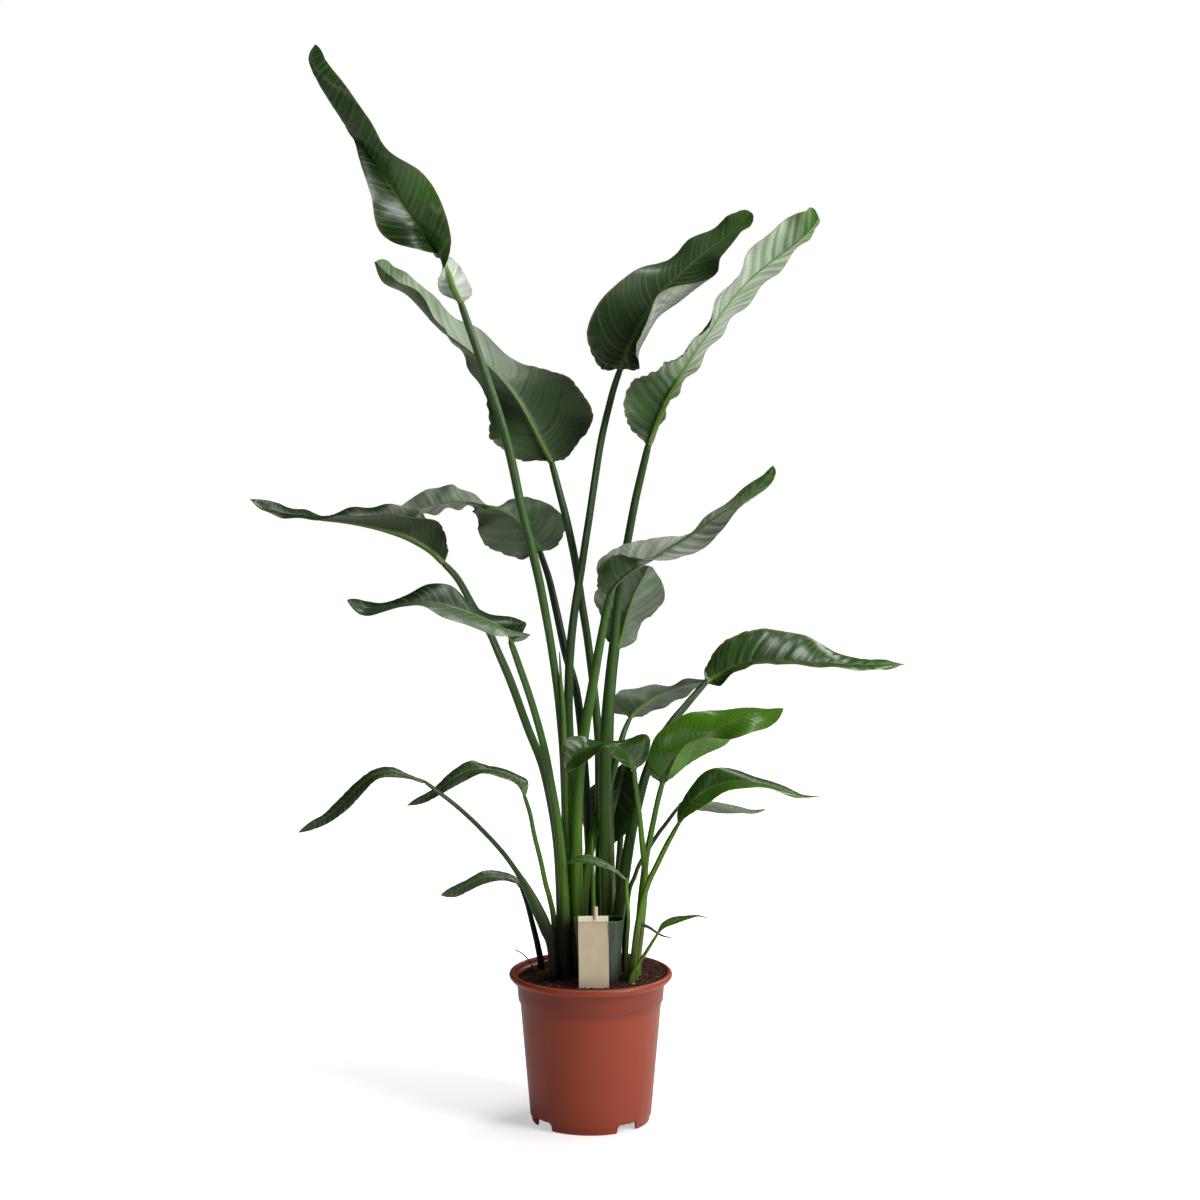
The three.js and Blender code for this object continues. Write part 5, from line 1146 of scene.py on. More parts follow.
    "right_dark": {"half_width": 48, "upper": 1, "waves": 3, "ripple": 2, "rows": [
        [50, 530, 85, 53, 530, 0, 47, 530, 0], [45, 500, 81, 66, 504, 0.5, 20, 506, -0.3],
        [38, 468, 80, 67, 466, 0.4, -10, 484, -0.3], [30, 440, 80, 58, 434, 0.4, -13, 448, -0.3],
        [22, 417, 78, 38, 414, 0.3, -2, 420, -0.3], [14, 398, 77]]},
    "front_small": {"half_width": 13, "upper": 1, "waves": 1, "ripple": 1, "rows": [
        [52, 356, -62, 51, 355, 0, 52, 358, 0], [36, 371, -64, 35, 368, 0.6, 33, 376, -0.6],
        [17, 381, -66, 17, 375, 0.6, 17, 388, -0.6], [-3, 386, -68, -3, 379, 0.5, -4, 394, -0.5],
        [-20, 387, -70, -20, 383, 0.4, -20, 392, -0.4], [-34, 381, -71]]},
    "right_small": {"half_width": 9, "upper": 1, "waves": 1, "ripple": 0.6, "rows": [
        [98, 277, -78, 97, 279, 0, 99, 277, 0], [108, 289, -80, 104, 292, -0.5, 110, 286, 0.5],
        [123, 296, -82, 118, 301, -0.5, 126, 292, 0.5], [140, 301, -84, 137, 304, -0.4, 142, 298, 0.4],
        [157, 303, -86, 156, 305, -0.3, 158, 302, 0.3], [171, 300, -88]]},
    "left_low_1": {"half_width": 17, "upper": 1, "waves": 2, "ripple": 1.2, "rows": [
        [-102, 347, 10, -101, 346, 0, -103, 349, 0], [-113, 359, 6, -113, 352, 0.6, -111, 364, -0.6],
        [-133, 364, 0, -132, 356, 0.6, -133, 370, -0.6], [-156, 361, -6, -156, 350, 0.5, -158, 369, -0.5],
        [-178, 351, -12, -178, 340, 0.4, -181, 358, -0.4], [-198, 341, -17, -197, 331, 0.3, -202, 347, -0.3],
        [-219, 334, -21]]},
    "left_low_2": {"half_width": 22, "upper": 1, "waves": 3, "ripple": 1.5, "rows": [
        [-96, 480, -58, -98, 481, 0, -94, 482, 0], [-102, 502, -60, -108, 497, 0.6, -91, 505, -0.6],
        [-124, 514, -62, -128, 508, 0.7, -117, 517, -0.7], [-150, 520, -64, -155, 513, 0.7, -147, 525, -0.7],
        [-175, 519, -66, -180, 504, 0.6, -174, 534, -0.5], [-199, 506, -68, -201, 493, 0.6, -199, 518, -0.6],
        [-222, 490, -69, -222, 480, 0.6, -225, 496, -0.6], [-246, 476, -70, -244, 470, 0.4, -248, 481, -0.4],
        [-267, 467, -71]]},
    "left_low_3": {"half_width": 19, "upper": 1, "waves": 3, "ripple": 1.2, "rows": [
        [-240, 501, -90, -240, 499, 0, -240, 503, 0], [-263, 509, -93, -263, 505, 0.7, -262, 513, -0.7],
        [-288, 516, -96, -287, 509, 0.7, -288, 523, -0.7], [-313, 512, -99, -309, 505, 0.7, -318, 518, -0.7],
        [-337, 494, -102, -331, 485, 0.7, -343, 501, -0.7],
        [-358, 471, -105, -353, 462, 0.7, -364, 477, -0.7],
        [-381, 452, -108, -377, 443, 0.6, -386, 457, -0.6],
        [-404, 439, -110, -402, 432, 0.4, -405, 445, -0.4], [-426, 427, -112]]},
}
# How each leaf looks; lists run from the stalk to the tip. age is 0 where the green is fresh and light and 1
# where it is old and dark; wax is the pale bloom on the underside, and dust a sheen painted on the upper
# side.
# far_side is the half, -1 left or 1 right, that has shade painted on it as added age and no painted sheen.
# pleated says how much deeper the side veins lie near the rib, and folds gives the height and pitch of wider
# folds along them. crinkle is how uneven the margins are in millimetres, mostly up to the part of the length
# that calm gives, and smooth_side is a half that has hardly any. brown times DRY_TIP_LENGTH is the dry tip,
# and blunt is how round the tip is.
LEAF_LOOKS = {
    "left_1": {"age": [0.6, 0.5, 0.5, 0.8, 0.9], "wax": [2.2, 0.2, 0.1], "dust_and_sheen": [0, 0.1, 0.08, 0],
               "far_side": 1, "folds": (0.3, 17), "crinkle": 1.6, "calm": 0.3, "brown": 0.1, "blunt": 0.35},
    "left_2": {"age": [0.95, 0.95, 0.85, 0.6, 0.25], "wax": [0, 0.05, 0.5, 0.35], "pleated": 2,
               "folds": (0.5, 14), "crinkle": 2.4, "calm": 0.45, "blunt": 0.7},
    "left_3": {"age": [0.95, 0.95, 0.85, 0.75, 0.5], "wax": [0.6, 1.2, 1.4], "dust_and_sheen": [0, 0.1, 0.2, 0.1],
               "crinkle": 1.8, "calm": 0.3, "blunt": 0.6},
    "left_4": {"age": [1, 0.75, 0.4, 0.3, 0.1], "wax": [0, 0, 0.6, 0.9, 0.6, 0.0], "folds": (1.1, 16),
               "crinkle": 2.6, "calm": 0.5, "smooth_side": 1, "blunt": 0.9},
    "left_5": {"age": [0.9, 1, 1.05, 1, 0.7], "wax": [0, 0, 0.2], "far_side": 1, "crinkle": 1.8,
               "calm": 0.3, "brown": 1.8, "blunt": 0},
    "left_6": {"age": [0.7, 0.7, 0.9, 0.8], "wax": [0.6, 0.7], "dust_and_sheen": [0.1, 0.5, 0.3, 0.1],
               "far_side": 1, "crinkle": 0.8, "calm": 0.3, "brown": 0.1, "blunt": 0.6},
    "left_7": {"age": [0.9, 0.85, 0.9], "wax": [0.1, 0.35, 0.6], "pleated": 2, "folds": (0.5, 15),
               "crinkle": 2.6, "calm": 0.6},
    "right_1": {"age": [0.9, 0.8, 0.6, 0.1, 0.0], "wax": [0, 1.0, 1.2, 0.5, 0], "folds": (0.9, 14),
                "crinkle": 1.6, "calm": 0.5, "blunt": 0.4},
    "right_2": {"age": [0.95, 0.95, 0.9], "wax": [0.25, 0.35], "pleated": 1, "folds": (0.4, 16),
                "crinkle": 1.8, "calm": 0.9, "brown": 0.15},
    "right_3": {"age": [0.85, 0.85, 0.85, 0.7, 0.4], "wax": [0.4, 0.4], "folds": (0.7, 20),
                "crinkle": 1.4, "calm": 0.5, "brown": 1.4, "blunt": 0},
    "right_5": {"age": [0.15, 0.12, 0.1, 0.1], "wax": [0, 0], "crinkle": 0.5, "calm": 0.9},
    "right_6": {"age": [1, 1], "wax": [0.06, 0.12], "pleated": 1, "folds": (0.5, 13), "crinkle": 1.2,
                "calm": 0.4},
    "right_7": {"age": [0.7, 0.75, 0.75], "wax": [0.2, 0.2], "crinkle": 0.8, "calm": 0.9, "brown": 0.8},
    "right_8": {"age": [0.2, 0.25, 0.3, 0.3], "wax": [0.2, 0.4], "far_side": -1, "crinkle": 0.6,
                "calm": 0.4, "brown": 1},
    "right_9": {"age": [0.85, 0.9, 0.8], "wax": [0.4, 0.4], "crinkle": 0.8, "calm": 0.4, "brown": 1.4},
    "right_dark": {"age": [1, 1], "wax": [0.2, 0.2], "crinkle": 1.0, "calm": 0.9},
    "front_small": {"age": [0.7, 0.65, 0.7], "wax": [0.6, 0.6], "crinkle": 0.3, "calm": 0.9, "brown": 0.3},
    "right_small": {"age": [0.45, 0.45, 0.5], "wax": [0.4, 0.4], "crinkle": 0.2, "calm": 0.9, "brown": 0.2},
    "left_low_1": {"age": [0.85, 0.9], "wax": [0.4, 0.4], "dust_and_sheen": [0.2, 0.2], "crinkle": 0.4, "calm": 0.9,
                   "brown": 0.6},
    "left_low_2": {"age": [0.85, 0.85, 0.9], "wax": [0.4, 0.4], "dust_and_sheen": [0.2, 0.2], "crinkle": 0.4,
                   "calm": 0.9, "brown": 1},
    "left_low_3": {"age": [0.9, 0.9], "wax": [0.4, 0.4], "dust_and_sheen": [0.25, 0.2], "crinkle": 0.3, "calm": 0.9,
                   "brown": 0.6},
}


def blade_width(part):
    """How wide a half blade is: a round base, the widest place at two fifths, a long point."""
    return 2.2 * part ** 0.5 * (1 - part) ** 0.65


def columns_across(count):
    """Places across a blade from -1 to 1, closest beside the rib and close at the margins."""
    half = np.linspace(0, 1, count)
    spread = 0.55 * half ** 2 + 0.45 * (1 - (1 - half) ** 1.25)
    return np.concatenate([-spread[:0:-1], spread])


def grid_normals(grid):
    """The direction straight off a sheet at each of its grid points."""
    ahead, across = np.empty_like(grid), np.empty_like(grid)
    ahead[1:-1] = grid[2:] - grid[:-2]
    ahead[0] = grid[1] - grid[0]
    ahead[-1] = grid[-1] - grid[-2]
    across[:, 1:-1] = grid[:, 2:] - grid[:, :-2]
    across[:, 0] = grid[:, 1] - grid[:, 0]
    across[:, -1] = grid[:, -1] - grid[:, -2]
    return unit(np.cross(across, ahead))


def blade_sheet(blade, blunt):
    """The middle sheet of a blade: its points, the part along, the places across and the rib's length."""
    tip = blade["rows"][-1]
    rows = np.array([*blade["rows"][:-1], [*tip, *tip[:2], 0, *tip[:2], 0]], float)
    ribs = seen(rows[:, 0], rows[:, 1], rows[:, 2])
    reach = np.concatenate([[0], np.cumsum(np.linalg.norm(np.diff(ribs, axis=0), axis=1))])
    length = reach[-1]
    width = blade["half_width"] * blade_width(reach / length)
    small = blade["half_width"] < SMALL_BLADE
    parts = np.linspace(0, 1, max(int(length / (SMALL_STATION if small else BLADE_STATION)), 24))
    parts = np.concatenate([parts[:-1], 1 - (1 - parts[-2]) * np.array(TIP_ROWS)])
    last_row = (len(rows) - 2) / (len(rows) - 1)
    to_tip = np.clip((parts - last_row) / (1 - last_row), 0, 1 - 1e-6)
    rounder = 1 + blunt * (np.sqrt((1 + to_tip) / (1 - to_tip)) - 1)
    places = columns_across(SMALL_COLUMNS if small else BLADE_COLUMNS)
    rib = along(ribs, parts)
    tangent = unit(along(ribs, parts + 0.01) - along(ribs, parts - 0.01))
    sheet = np.repeat(rib[:, None], len(places), axis=1)
    for side, hand, column in (("left", -1, 3), ("right", 1, 6)):
        flat = seen(rows[:, column], rows[:, column + 1], rows[:, 2])
        hidden = np.sqrt(np.maximum(width ** 2 - np.linalg.norm(flat - ribs, axis=1) ** 2, 0))
        edges = seen(rows[:, column], rows[:, column + 1], rows[:, 2] - rows[:, column + 2] * hidden)
        outward = (along(edges, parts) - rib) * rounder[:, None]
        edge = rib + outward
        if blade.get("belly", {}).get("side") == side:
            fold = np.array(blade["belly"]["rows"], float)
            middle = along(seen(fold[:, 0], fold[:, 1], (ribs[:, 1] + edges[:, 1]) / 2), parts)
        else:
            off = unit(np.cross(outward, tangent)) * hand
            lift = blade["upper"] * BLADE_CUP * np.linalg.norm(outward, axis=1)
            middle = rib + 0.5 * outward + off * lift[:, None]
        pull = 2 * middle - 0.5 * (rib + edge)
        picked = np.nonzero(places * hand > 0)[0]
        span = np.abs(places[picked])[None, :, None]
        sheet[:, picked] = ((1 - span) ** 2 * rib[:, None] + 2 * span * (1 - span) * pull[:, None]
                            + span ** 2 * edge[:, None])
    return sheet, parts, places, length


def uneven(values, seed, pitch):
    """A smooth irregular wave along a margin, between about -1 and 1."""
    random = np.random.default_rng(seed)
    total = np.zeros_like(values)
    for share in (1, 0.7, 0.5, 0.4):
        length = pitch * random.uniform(0.6, 2.2)
        total += share * np.sin(2 * math.pi * values / length + random.uniform(0, 6.28))
    return total / 1.6


def wavy_margins(sheet, blade, looks, part, place, run, seed):
    """The sheet with the waves of its margins, and their crinkles and small bites."""
    band = np.clip((np.abs(place) - 0.55) / 0.45, 0, 1) ** 2
    rough = np.clip((looks["calm"] - part) / 0.12, 0, 1) * 0.85 + 0.15
    rough = looks["crinkle"] * band * rough * np.clip(part / 0.03, 0, 1) * np.clip((1 - part) / 0.1, 0, 1)
    smooth = place * looks.get("smooth_side", 0) > 0
    wave = np.sin(2 * math.pi * blade["waves"] * part + np.where(place < 0, 0, 2))
    lift = blade["ripple"] * place ** 2 * wave * np.minimum(1, 6 * (1 - part)) * np.minimum(1, 20 * part)
    crinkle = uneven(run + 40 * np.sign(place), seed, CRINKLE_PITCH) * np.where(smooth, SMOOTH_CRINKLE, 1)
    sheet = sheet + grid_normals(sheet) * (lift + 0.7 * rough * crinkle)[..., None]
    bites = np.clip(uneven(run + 71 * np.sign(place), seed + 50, BITE_PITCH), 0, 1) ** 1.5
    middle = sheet.shape[1] // 2
    draw = 0.9 * rough * bites * np.where(smooth, SMOOTH_BITES, 1)
    return sheet + unit(sheet[:, middle:middle + 1] - sheet) * draw[..., None]


def widths_across(sheet):
    """How far each point of the sheet lies from the rib, measured along the sheet."""
    across = np.linalg.norm(np.diff(sheet, axis=1), axis=2)
    middle = sheet.shape[1] // 2
    width = np.zeros(sheet.shape[:2])
    width[:, middle + 1:] = np.cumsum(across[:, middle:], axis=1)
    width[:, :middle] = np.cumsum(across[:, :middle][:, ::-1], axis=1)[:, ::-1]
    return width


def vein_pleats(looks, part, place, vein, width, seed):
    """The height of the pleats and folds along the side veins, and the same as a mark from 0 to 1."""
    fade = np.clip(width / 6, 0, 1) * np.clip((1 - np.abs(place)) * 6, 0, 1) * np.clip((1 - part) * 8, 0, 1)
    pleat = VEIN_RELIEF * fade * np.sin(2 * math.pi * vein / VEIN_PITCH)
    pleat = pleat * (0.6 + 0.5 * uneven(vein, seed + 9, 30))
    pleat = pleat * (1 + looks.get("pleated", 0) * np.exp(-(width / PLEAT_REACH) ** 2))
    fold_height, fold_pitch = looks.get("folds", (0, 1))
    turned = 2 * math.pi * (vein / fold_pitch + 0.35 * uneven(vein, seed + 17, 4 * fold_pitch))
    pleat = pleat + fold_height * fade * np.sin(turned) * (0.7 + 0.4 * uneven(vein, seed + 23, 60))
    full = VEIN_RELIEF * (1 + looks.get("pleated", 0)) + fold_height
    return pleat, np.clip(0.5 + 0.6 * pleat / full, 0, 1)


def closed_sheet(upper, under):
    """A thin closed body between two grids of points."""
    rows, columns = upper.shape[:2]
    row, column = np.meshgrid(np.arange(rows - 1), np.arange(columns - 1), indexing="ij")
    corner = (row * columns + column).ravel()
    top = np.stack([corner, corner + 1, corner + columns + 1, corner + columns], axis=1)
    low = top[:, ::-1] + rows * columns
    rim = np.concatenate([
        np.arange(columns), np.arange(1, rows) * columns + columns - 1,
        (rows - 1) * columns + np.arange(columns - 2, -1, -1), np.arange(rows - 2, 0, -1) * columns,
    ])
    beyond = np.roll(rim, -1)
    wall = np.stack([rim, rim + rows * columns, beyond + rows * columns, beyond], axis=1)
    return np.concatenate([upper.reshape(-1, 3), under.reshape(-1, 3)]), [top, low, wall]


def blade_shape(name, blade, stalk_radius, seed):
    """Points, faces and marks of one blade."""
    looks = LEAF_LOOKS[name]
    sheet, parts, places, length = blade_sheet(blade, looks.get("blunt", 0.3))
    part, place = parts[:, None], places[None, :]
    run = part * length
    sheet = wavy_margins(sheet, blade, looks, part, place, run, seed)
    width = widths_across(sheet)
    vein = run - 0.5 * width - 0.004 * width ** 2
    pleat, raised = vein_pleats(looks, part, place, vein, width, seed)
    normals = grid_normals(sheet)
    sheet = sheet + normals * (pleat * blade["upper"])[..., None]

    middle = len(places) // 2
    taper = (1 - part) ** RIB_TAPER
    rib_radius = np.maximum(stalk_radius * taper, 0.45)
    keel = 1.05 * rib_radius * np.sqrt(np.clip(1 - (width / rib_radius) ** 2, 0, 1))
    hump = stalk_radius * np.sqrt(np.clip(1 - (width / stalk_radius) ** 2, 0, 1))
    hump = hump * np.clip(1 - run / RIB_START, 0, 1) ** 1.5
    groove = RIB_GROOVE * np.exp(-(width / (0.55 * rib_radius + 0.4)) ** 2) * taper
    groove = groove * np.clip(run / RIB_START - 0.6, 0, 1)
    thin = BLADE_HALF_THICKNESS * (1 - 0.55 * np.abs(place) ** 10)
    tip_side = unit(np.cross(sheet[-1, middle] - sheet[-3, middle], normals[-2, middle]))
    sheet[-1] += tip_side[None, :] * (places * TIP_HALF_WIDTH)[:, None]
    normals[-1] = normals[-2]
    towards_upper = normals * blade["upper"]
    points, faces = closed_sheet(sheet + towards_upper * (thin + hump - groove)[..., None],
                                 sheet - towards_upper * (thin + keel)[..., None])
    # The far half gets shade painted on it as added age, and no painted sheen.
    far_half = np.clip(place * looks.get("far_side", 0) * 12, 0, 1)
    dry_from = length - DRY_TIP_LENGTH * looks.get("brown", 0)
    both_sides = {
        "vein": vein,
        "rib": np.exp(-(width / (rib_radius * 1.15)) ** 4),
        "margin": np.clip((np.abs(place) - 0.975) / 0.02, 0, 1),
        "age": along(looks["age"], parts)[:, None] + FAR_SIDE_SHADE * far_half,
        # A sheen painted on the upper side, none on the far half.
        "dust_and_sheen": along(looks.get("dust_and_sheen", [0, 0]), parts)[:, None] * (1 - far_half),
        "wax": along(looks["wax"], parts)[:, None],
        "brown": np.clip((run - dry_from) / 5, 0, 1),
    }
    marks = {key: np.tile(np.broadcast_to(value, vein.shape).ravel(), 2) for key, value in both_sides.items()}
    marks["raised"] = np.append(raised, 1 - raised)
    marks["under"] = np.repeat([0.0, 1.0], vein.size)
    return points, faces, marks


# The side veins: irregular bands, fine lines and narrow ridges that keep their tone all along each vein
vein_tree, start, end = group_tree("side_veins", {
    "Vein": ("Float", 0.0), "Band Pitch": ("Float", 9.0), "Line Pitch": ("Float", 1.4),
}, ["Band", "Line", "Ridge"])
for output, pitch, low, high in (("Band", "Band Pitch", 0.34, 0.66), ("Line", "Line Pitch", 0.3, 0.7)):
    vein_noise = add_node(vein_tree, "TexNoise", {
        "W": calculate(vein_tree, "DIVIDE", start["Vein"], start[pitch]), "Scale": 1.0, "Detail": 1.0,
    }, noise_dimensions="1D")
    vein_tree.links.new(ease(vein_tree, vein_noise.outputs["Fac"], low, high), end[output])
vein_turn = times(vein_tree, calculate(vein_tree, "DIVIDE", start["Vein"], start["Band Pitch"]), 2 * math.pi)
vein_wave = calculate(vein_tree, "MULTIPLY_ADD", calculate(vein_tree, "SINE", vein_turn), 0.5, 0.5)
vein_tree.links.new(calculate(vein_tree, "POWER", vein_wave, 6.0), end["Ridge"])


def leaf_upper(tree, age, veins, groove_shade, ridge_light):
    """The upper side's colour: green by age, side veins, painted shade in grooves, a painted sheen and a
    light rib.
    """
    ridge_share = ease(tree, veins["Band"], 0.2, 0.8, 0.08, 0.4)
    colour = mix_colour(tree, age, linear(74, 128, 14), linear(22, 44, 12))
    colour = tint(tree, colour, veins["Band"], 0.16, (62, 88, 44))
    colour = tint(tree, colour, veins["Ridge"], ridge_share, (104, 122, 88))
    colour = tint(tree, colour, groove_shade, 0.4, (16, 34, 12))
    # Sheen painted on the upper side, strongest on the ridges of the pleats.
    colour = tint(tree, colour, stored(tree, "dust_and_sheen"), ridge_light, (112, 128, 104))
    return tint(tree, colour, stored(tree, "rib"), 0.45, (112, 130, 62))


def leaf_under(tree, age, veins, groove_shade, ridge_light, cloud):
    """The underside's colour: green by age, painted shade in grooves, pale wax lifted by painted light on
    ridges, side veins and a light rib.
    """
    wax = times(tree, times(tree, stored(tree, "wax"), ease(tree, cloud, 0.0, 1.0, 0.62, 0.95)), ridge_light)
    rib_colour = mix_colour(tree, age, linear(96, 138, 42), linear(92, 116, 46))
    colour = mix_colour(tree, age, linear(92, 148, 34), linear(34, 60, 20))
    colour = tint(tree, colour, groove_shade, 0.6, (16, 34, 10))
    colour = tint(tree, colour, wax, 1, (208, 216, 204))
    colour = tint(tree, colour, veins["Band"], 0.34, (50, 70, 38))
    colour = tint(tree, colour, veins["Line"], 0.1, (150, 162, 132))
    return mix_colour(tree, stored(tree, "rib"), colour, rib_colour)


def leaf_skin():
    """Leaf blade: glossy above, matt and waxy below, with side veins, blemishes and a dry tip."""
    material, tree = new_material("leaf_skin")
    place = object_place(tree)
    cloud = clouds(tree, place, 16.0)
    under = stored(tree, "under")
    brown = stored(tree, "brown")
    age = calculate(tree, "MULTIPLY_ADD", cloud, 0.14, calculate(tree, "SUBTRACT", stored(tree, "age"), 0.07))
    veins = use_group(tree, vein_tree, {
        "Vein": stored(tree, "vein"), "Band Pitch": VEIN_PITCH, "Line Pitch": 1.5,
    })
    # Painted shade in the grooves between the pleats, and painted light on their ridges, which strengthens
    # the wax and the sheen there.
    groove_shade = ease(tree, stored(tree, "raised"), 0.5, 0.05)
    ridge_light = ease(tree, stored(tree, "raised"), 0.2, 0.85, 0.62, 1.06)
    colour = mix_colour(tree, under, leaf_upper(tree, age, veins, groove_shade, ridge_light),
                        leaf_under(tree, age, veins, groove_shade, ridge_light, cloud))
    colour = tint(tree, colour, stored(tree, "margin"), 0.6, (120, 118, 66))
    colour = tint(tree, colour, specks(tree, place, 48.0, 0.1, 0.16), 0.6, (96, 74, 44))
    colour = tint(tree, colour, ease(tree, brown, 0.0, 0.5), 1, (150, 128, 62))
    colour = tint(tree, colour, ease(tree, brown, 0.4, 0.9), 1, (66, 42, 28))
    upper_rough = calculate(tree, "MULTIPLY_ADD", age, 0.1, ease(tree, cloud, 0.0, 1.0, 0.18, 0.27))
    roughness = calculate(tree, "MULTIPLY_ADD", brown, 0.3, mix_value(tree, under, upper_rough, 0.5))
    relief = bump(tree, veins["Ridge"], 0.3, 0.2, bump(tree, veins["Line"], 0.22, 0.16))
    relief = bump(tree, clouds(tree, place, 420.0), 0.1, 0.05, relief)
    shader = finish_material(tree, colour, roughness, relief, specular_ior_level=0.42, coat_roughness=0.16)
    freshness = times(tree, calculate(tree, "SUBTRACT", 1.25, age), 0.3)
    coat = times(tree, calculate(tree, "SUBTRACT", 1.0, under), freshness)
    tree.links.new(coat, shader.inputs["Coat Weight"])
    return material


leaf_material = leaf_skin()
for seed, (name, blade) in enumerate(BLADES.items()):
    points, faces, marks = blade_shape(name, blade, STALKS[name][-1][3], seed)
    piece = make_piece(f"leaf_{name}", points, faces, leaf_material, "leaf_blade", f"blade_{name}", 60)
    for mark, values in marks.items():
        store(piece, mark, values)

# Rolled young leaves
# New leaves still rolled up tight as pointed green spears, with the outer edge of the roll winding up each.
ROLL_SIDES = 36
ROLL_SECTION = 4
ROLL_STEP = 0.1
ROLL_TURN_LENGTH = 150

# At each point: across, up and depth of its middle in the front view, and its half width.
ROLLED = {
    "young_leaf": [[-32.5, 395, -11, 3], [-34, 430, -11, 4.6], [-36, 500, -11, 5], [-38, 560, -11, 4.2],
        [-40, 610, -11, 3.4], [-43, 655, -11, 2.2], [-45, 692, -10, 0.9]],
    "young_shoot": [[4, 152, -40, 3.6], [4, 260, -40, 3.6], [4, 330, -38, 3], [3, 380, -36, 2.2],
        [2, 420, -35, 0.8]],
}


def rolled_leaf(points):
    """A spear whose outer edge steps in along a winding line: its points, faces and where that line is."""
    middles, radii, _, side, front, turns = stem_frame(points, ROLL_SECTION, ROLL_SIDES)
    run = np.linspace(0, path_length(middles), len(middles))[:, None]
    wound = (turns - 2 * math.pi * run / ROLL_TURN_LENGTH) % (2 * math.pi)
    seam = np.exp(-np.minimum(wound, 2 * math.pi - wound) ** 2 / 0.03)
    radius = radii[:, None] * (0.94 + ROLL_STEP * (1 - wound / (2 * math.pi)))
    return *closed_loft(rings_round(middles, radius, side, front, turns)), np.append(seam, [0, 0])


young_skin = stalk_material(
    "rolled_leaf_skin", (92, 124, 40), (88, 132, 46), (104, 146, 62), (120, 150, 90), 0.38,
)
for name, points in ROLLED.items():
    shape, faces, seam = rolled_leaf(points)
    spear = make_piece(name + "_spear", shape, faces, young_skin, "leaf_stalk", name)
    store(spear, "margin", 0.6 * seam)
    store(spear, "bloom", 0.2)
    store(spear, "shade", 0.2)

# Old sheath
# The foot of an outer leaf that was cut off level: a thin open cup of green sheath round the inner stalks,
# light green at its cut rim, with fibres running up it, narrowing into the soil behind the label.
OLD_SHEATH = {"across": 12, "depth": -64, "width": 36, "thickness": 22, "top": 314, "waist": 260, "foot": 178,
              "floor": 226, "wall": 1.2}
SHEATH_SIDES = 120
SHEATH_OUTER_LEVELS = 26
SHEATH_INNER_LEVELS = 18
SHEATH_FOOT_SHARE = 0.7
SHEATH_WAIST_SHARE = 0.85
SHEATH_RIDGES = 34
SHEATH_UNEVEN_ABOVE = 300


def sheath_ring(height, inset):
    """One level ring of the sheath, with its lengthwise ridges, and uneven near the rim."""
    share = np.interp(height, [OLD_SHEATH[level] for level in ("foot", "waist", "top")],
                      (SHEATH_FOOT_SHARE, SHEATH_WAIST_SHARE, 1))
    turns = 2 * math.pi * np.arange(SHEATH_SIDES) / SHEATH_SIDES
    ridge = 0.22 * np.sin(SHEATH_RIDGES * turns) + 0.15 * np.sin(13 * turns + height / 40)
    rim_wave = (0.8 * np.sin(3 * turns) + 0.3 * np.sin(11 * turns)) * (height > SHEATH_UNEVEN_ABOVE)
    return np.stack([
        OLD_SHEATH["across"] + (OLD_SHEATH["width"] * share - inset + ridge) * np.cos(turns),
        OLD_SHEATH["depth"] + (OLD_SHEATH["thickness"] * share - inset + ridge) * np.sin(turns),
        height + rim_wave,
    ], axis=1)


def sheath_skin():
    """Old green sheath: fine and broad upright lines, a brown foot, painted shade on its inside and a light
    cut rim.
    """
    material, tree = new_material("old_sheath_skin")
    place = object_place(tree)
    height = height_of(tree, place)
    lines = long_lines(tree, place, 420.0, 0.03)
    rim = ease(tree, height, (OLD_SHEATH["top"] - 2.2) * MM, (OLD_SHEATH["top"] - 0.6) * MM)
    colour = mix_colour(tree, lines, linear(16, 36, 16), linear(34, 58, 32))
    colour = tint(tree, colour, long_lines(tree, place, 120.0, 0.06), 0.4, (84, 98, 80))
    colour = tint(tree, colour, ease(tree, height, 0.262, 0.22), 1, (34, 34, 24))
    # Shade painted all over the inner wall of the cup.
    colour = tint(tree, colour, stored(tree, "shaded_inside"), 1, (12, 32, 10))
    colour = tint(tree, colour, rim, 1, (56, 104, 50))
    finish_material(tree, colour, ease(tree, lines, 0.0, 1.0, 0.35, 0.5), bump(tree, lines, 0.4, 0.3))
    return material


outer_levels = np.linspace(OLD_SHEATH["foot"], OLD_SHEATH["top"], SHEATH_OUTER_LEVELS)
inner_levels = np.linspace(OLD_SHEATH["top"], OLD_SHEATH["floor"], SHEATH_INNER_LEVELS)
sheath_rings = [sheath_ring(level, 0) for level in outer_levels]
sheath_rings.append(sheath_ring(OLD_SHEATH["top"] + 0.35, OLD_SHEATH["wall"] / 2))
sheath_rings += [sheath_ring(level, OLD_SHEATH["wall"]) for level in inner_levels]
sheath_points, sheath_faces = closed_loft(np.stack(sheath_rings))
sheath = make_piece("cut_sheath", sheath_points, sheath_faces, sheath_skin(), "leaf_stalk", "old_sheath")
# Marks the inner wall, which gets painted shade.
shaded_inside = np.repeat([0, 1], [SHEATH_OUTER_LEVELS + 1, SHEATH_INNER_LEVELS])
store(sheath, "shaded_inside", np.append(np.repeat(shaded_inside, SHEATH_SIDES), [0, 1]))

# Label and peg
# A tall plant label of bare brown card, folded over at its top and stuck in the soil by the lip. A short
# split wooden peg pushed down over the fold holds it together.
LABEL = {"width": 43, "height": 121, "thickness": 0.8, "across": 5.4, "depth": -97, "foot": 205, "fold": 8,
         "turn": -0.012}
LABEL_COLUMNS = 14
LABEL_BOW = 0.5
LABEL_DAMP = (14, 8)
PEG = {"radius": 3.4, "height": 19, "across": 7.4, "foot": 320.5, "slot": 3, "grip": 6.5}
PEG_DEPTH = LABEL["depth"] - 1.6 * LABEL["thickness"]
PEG_SIDES = 40


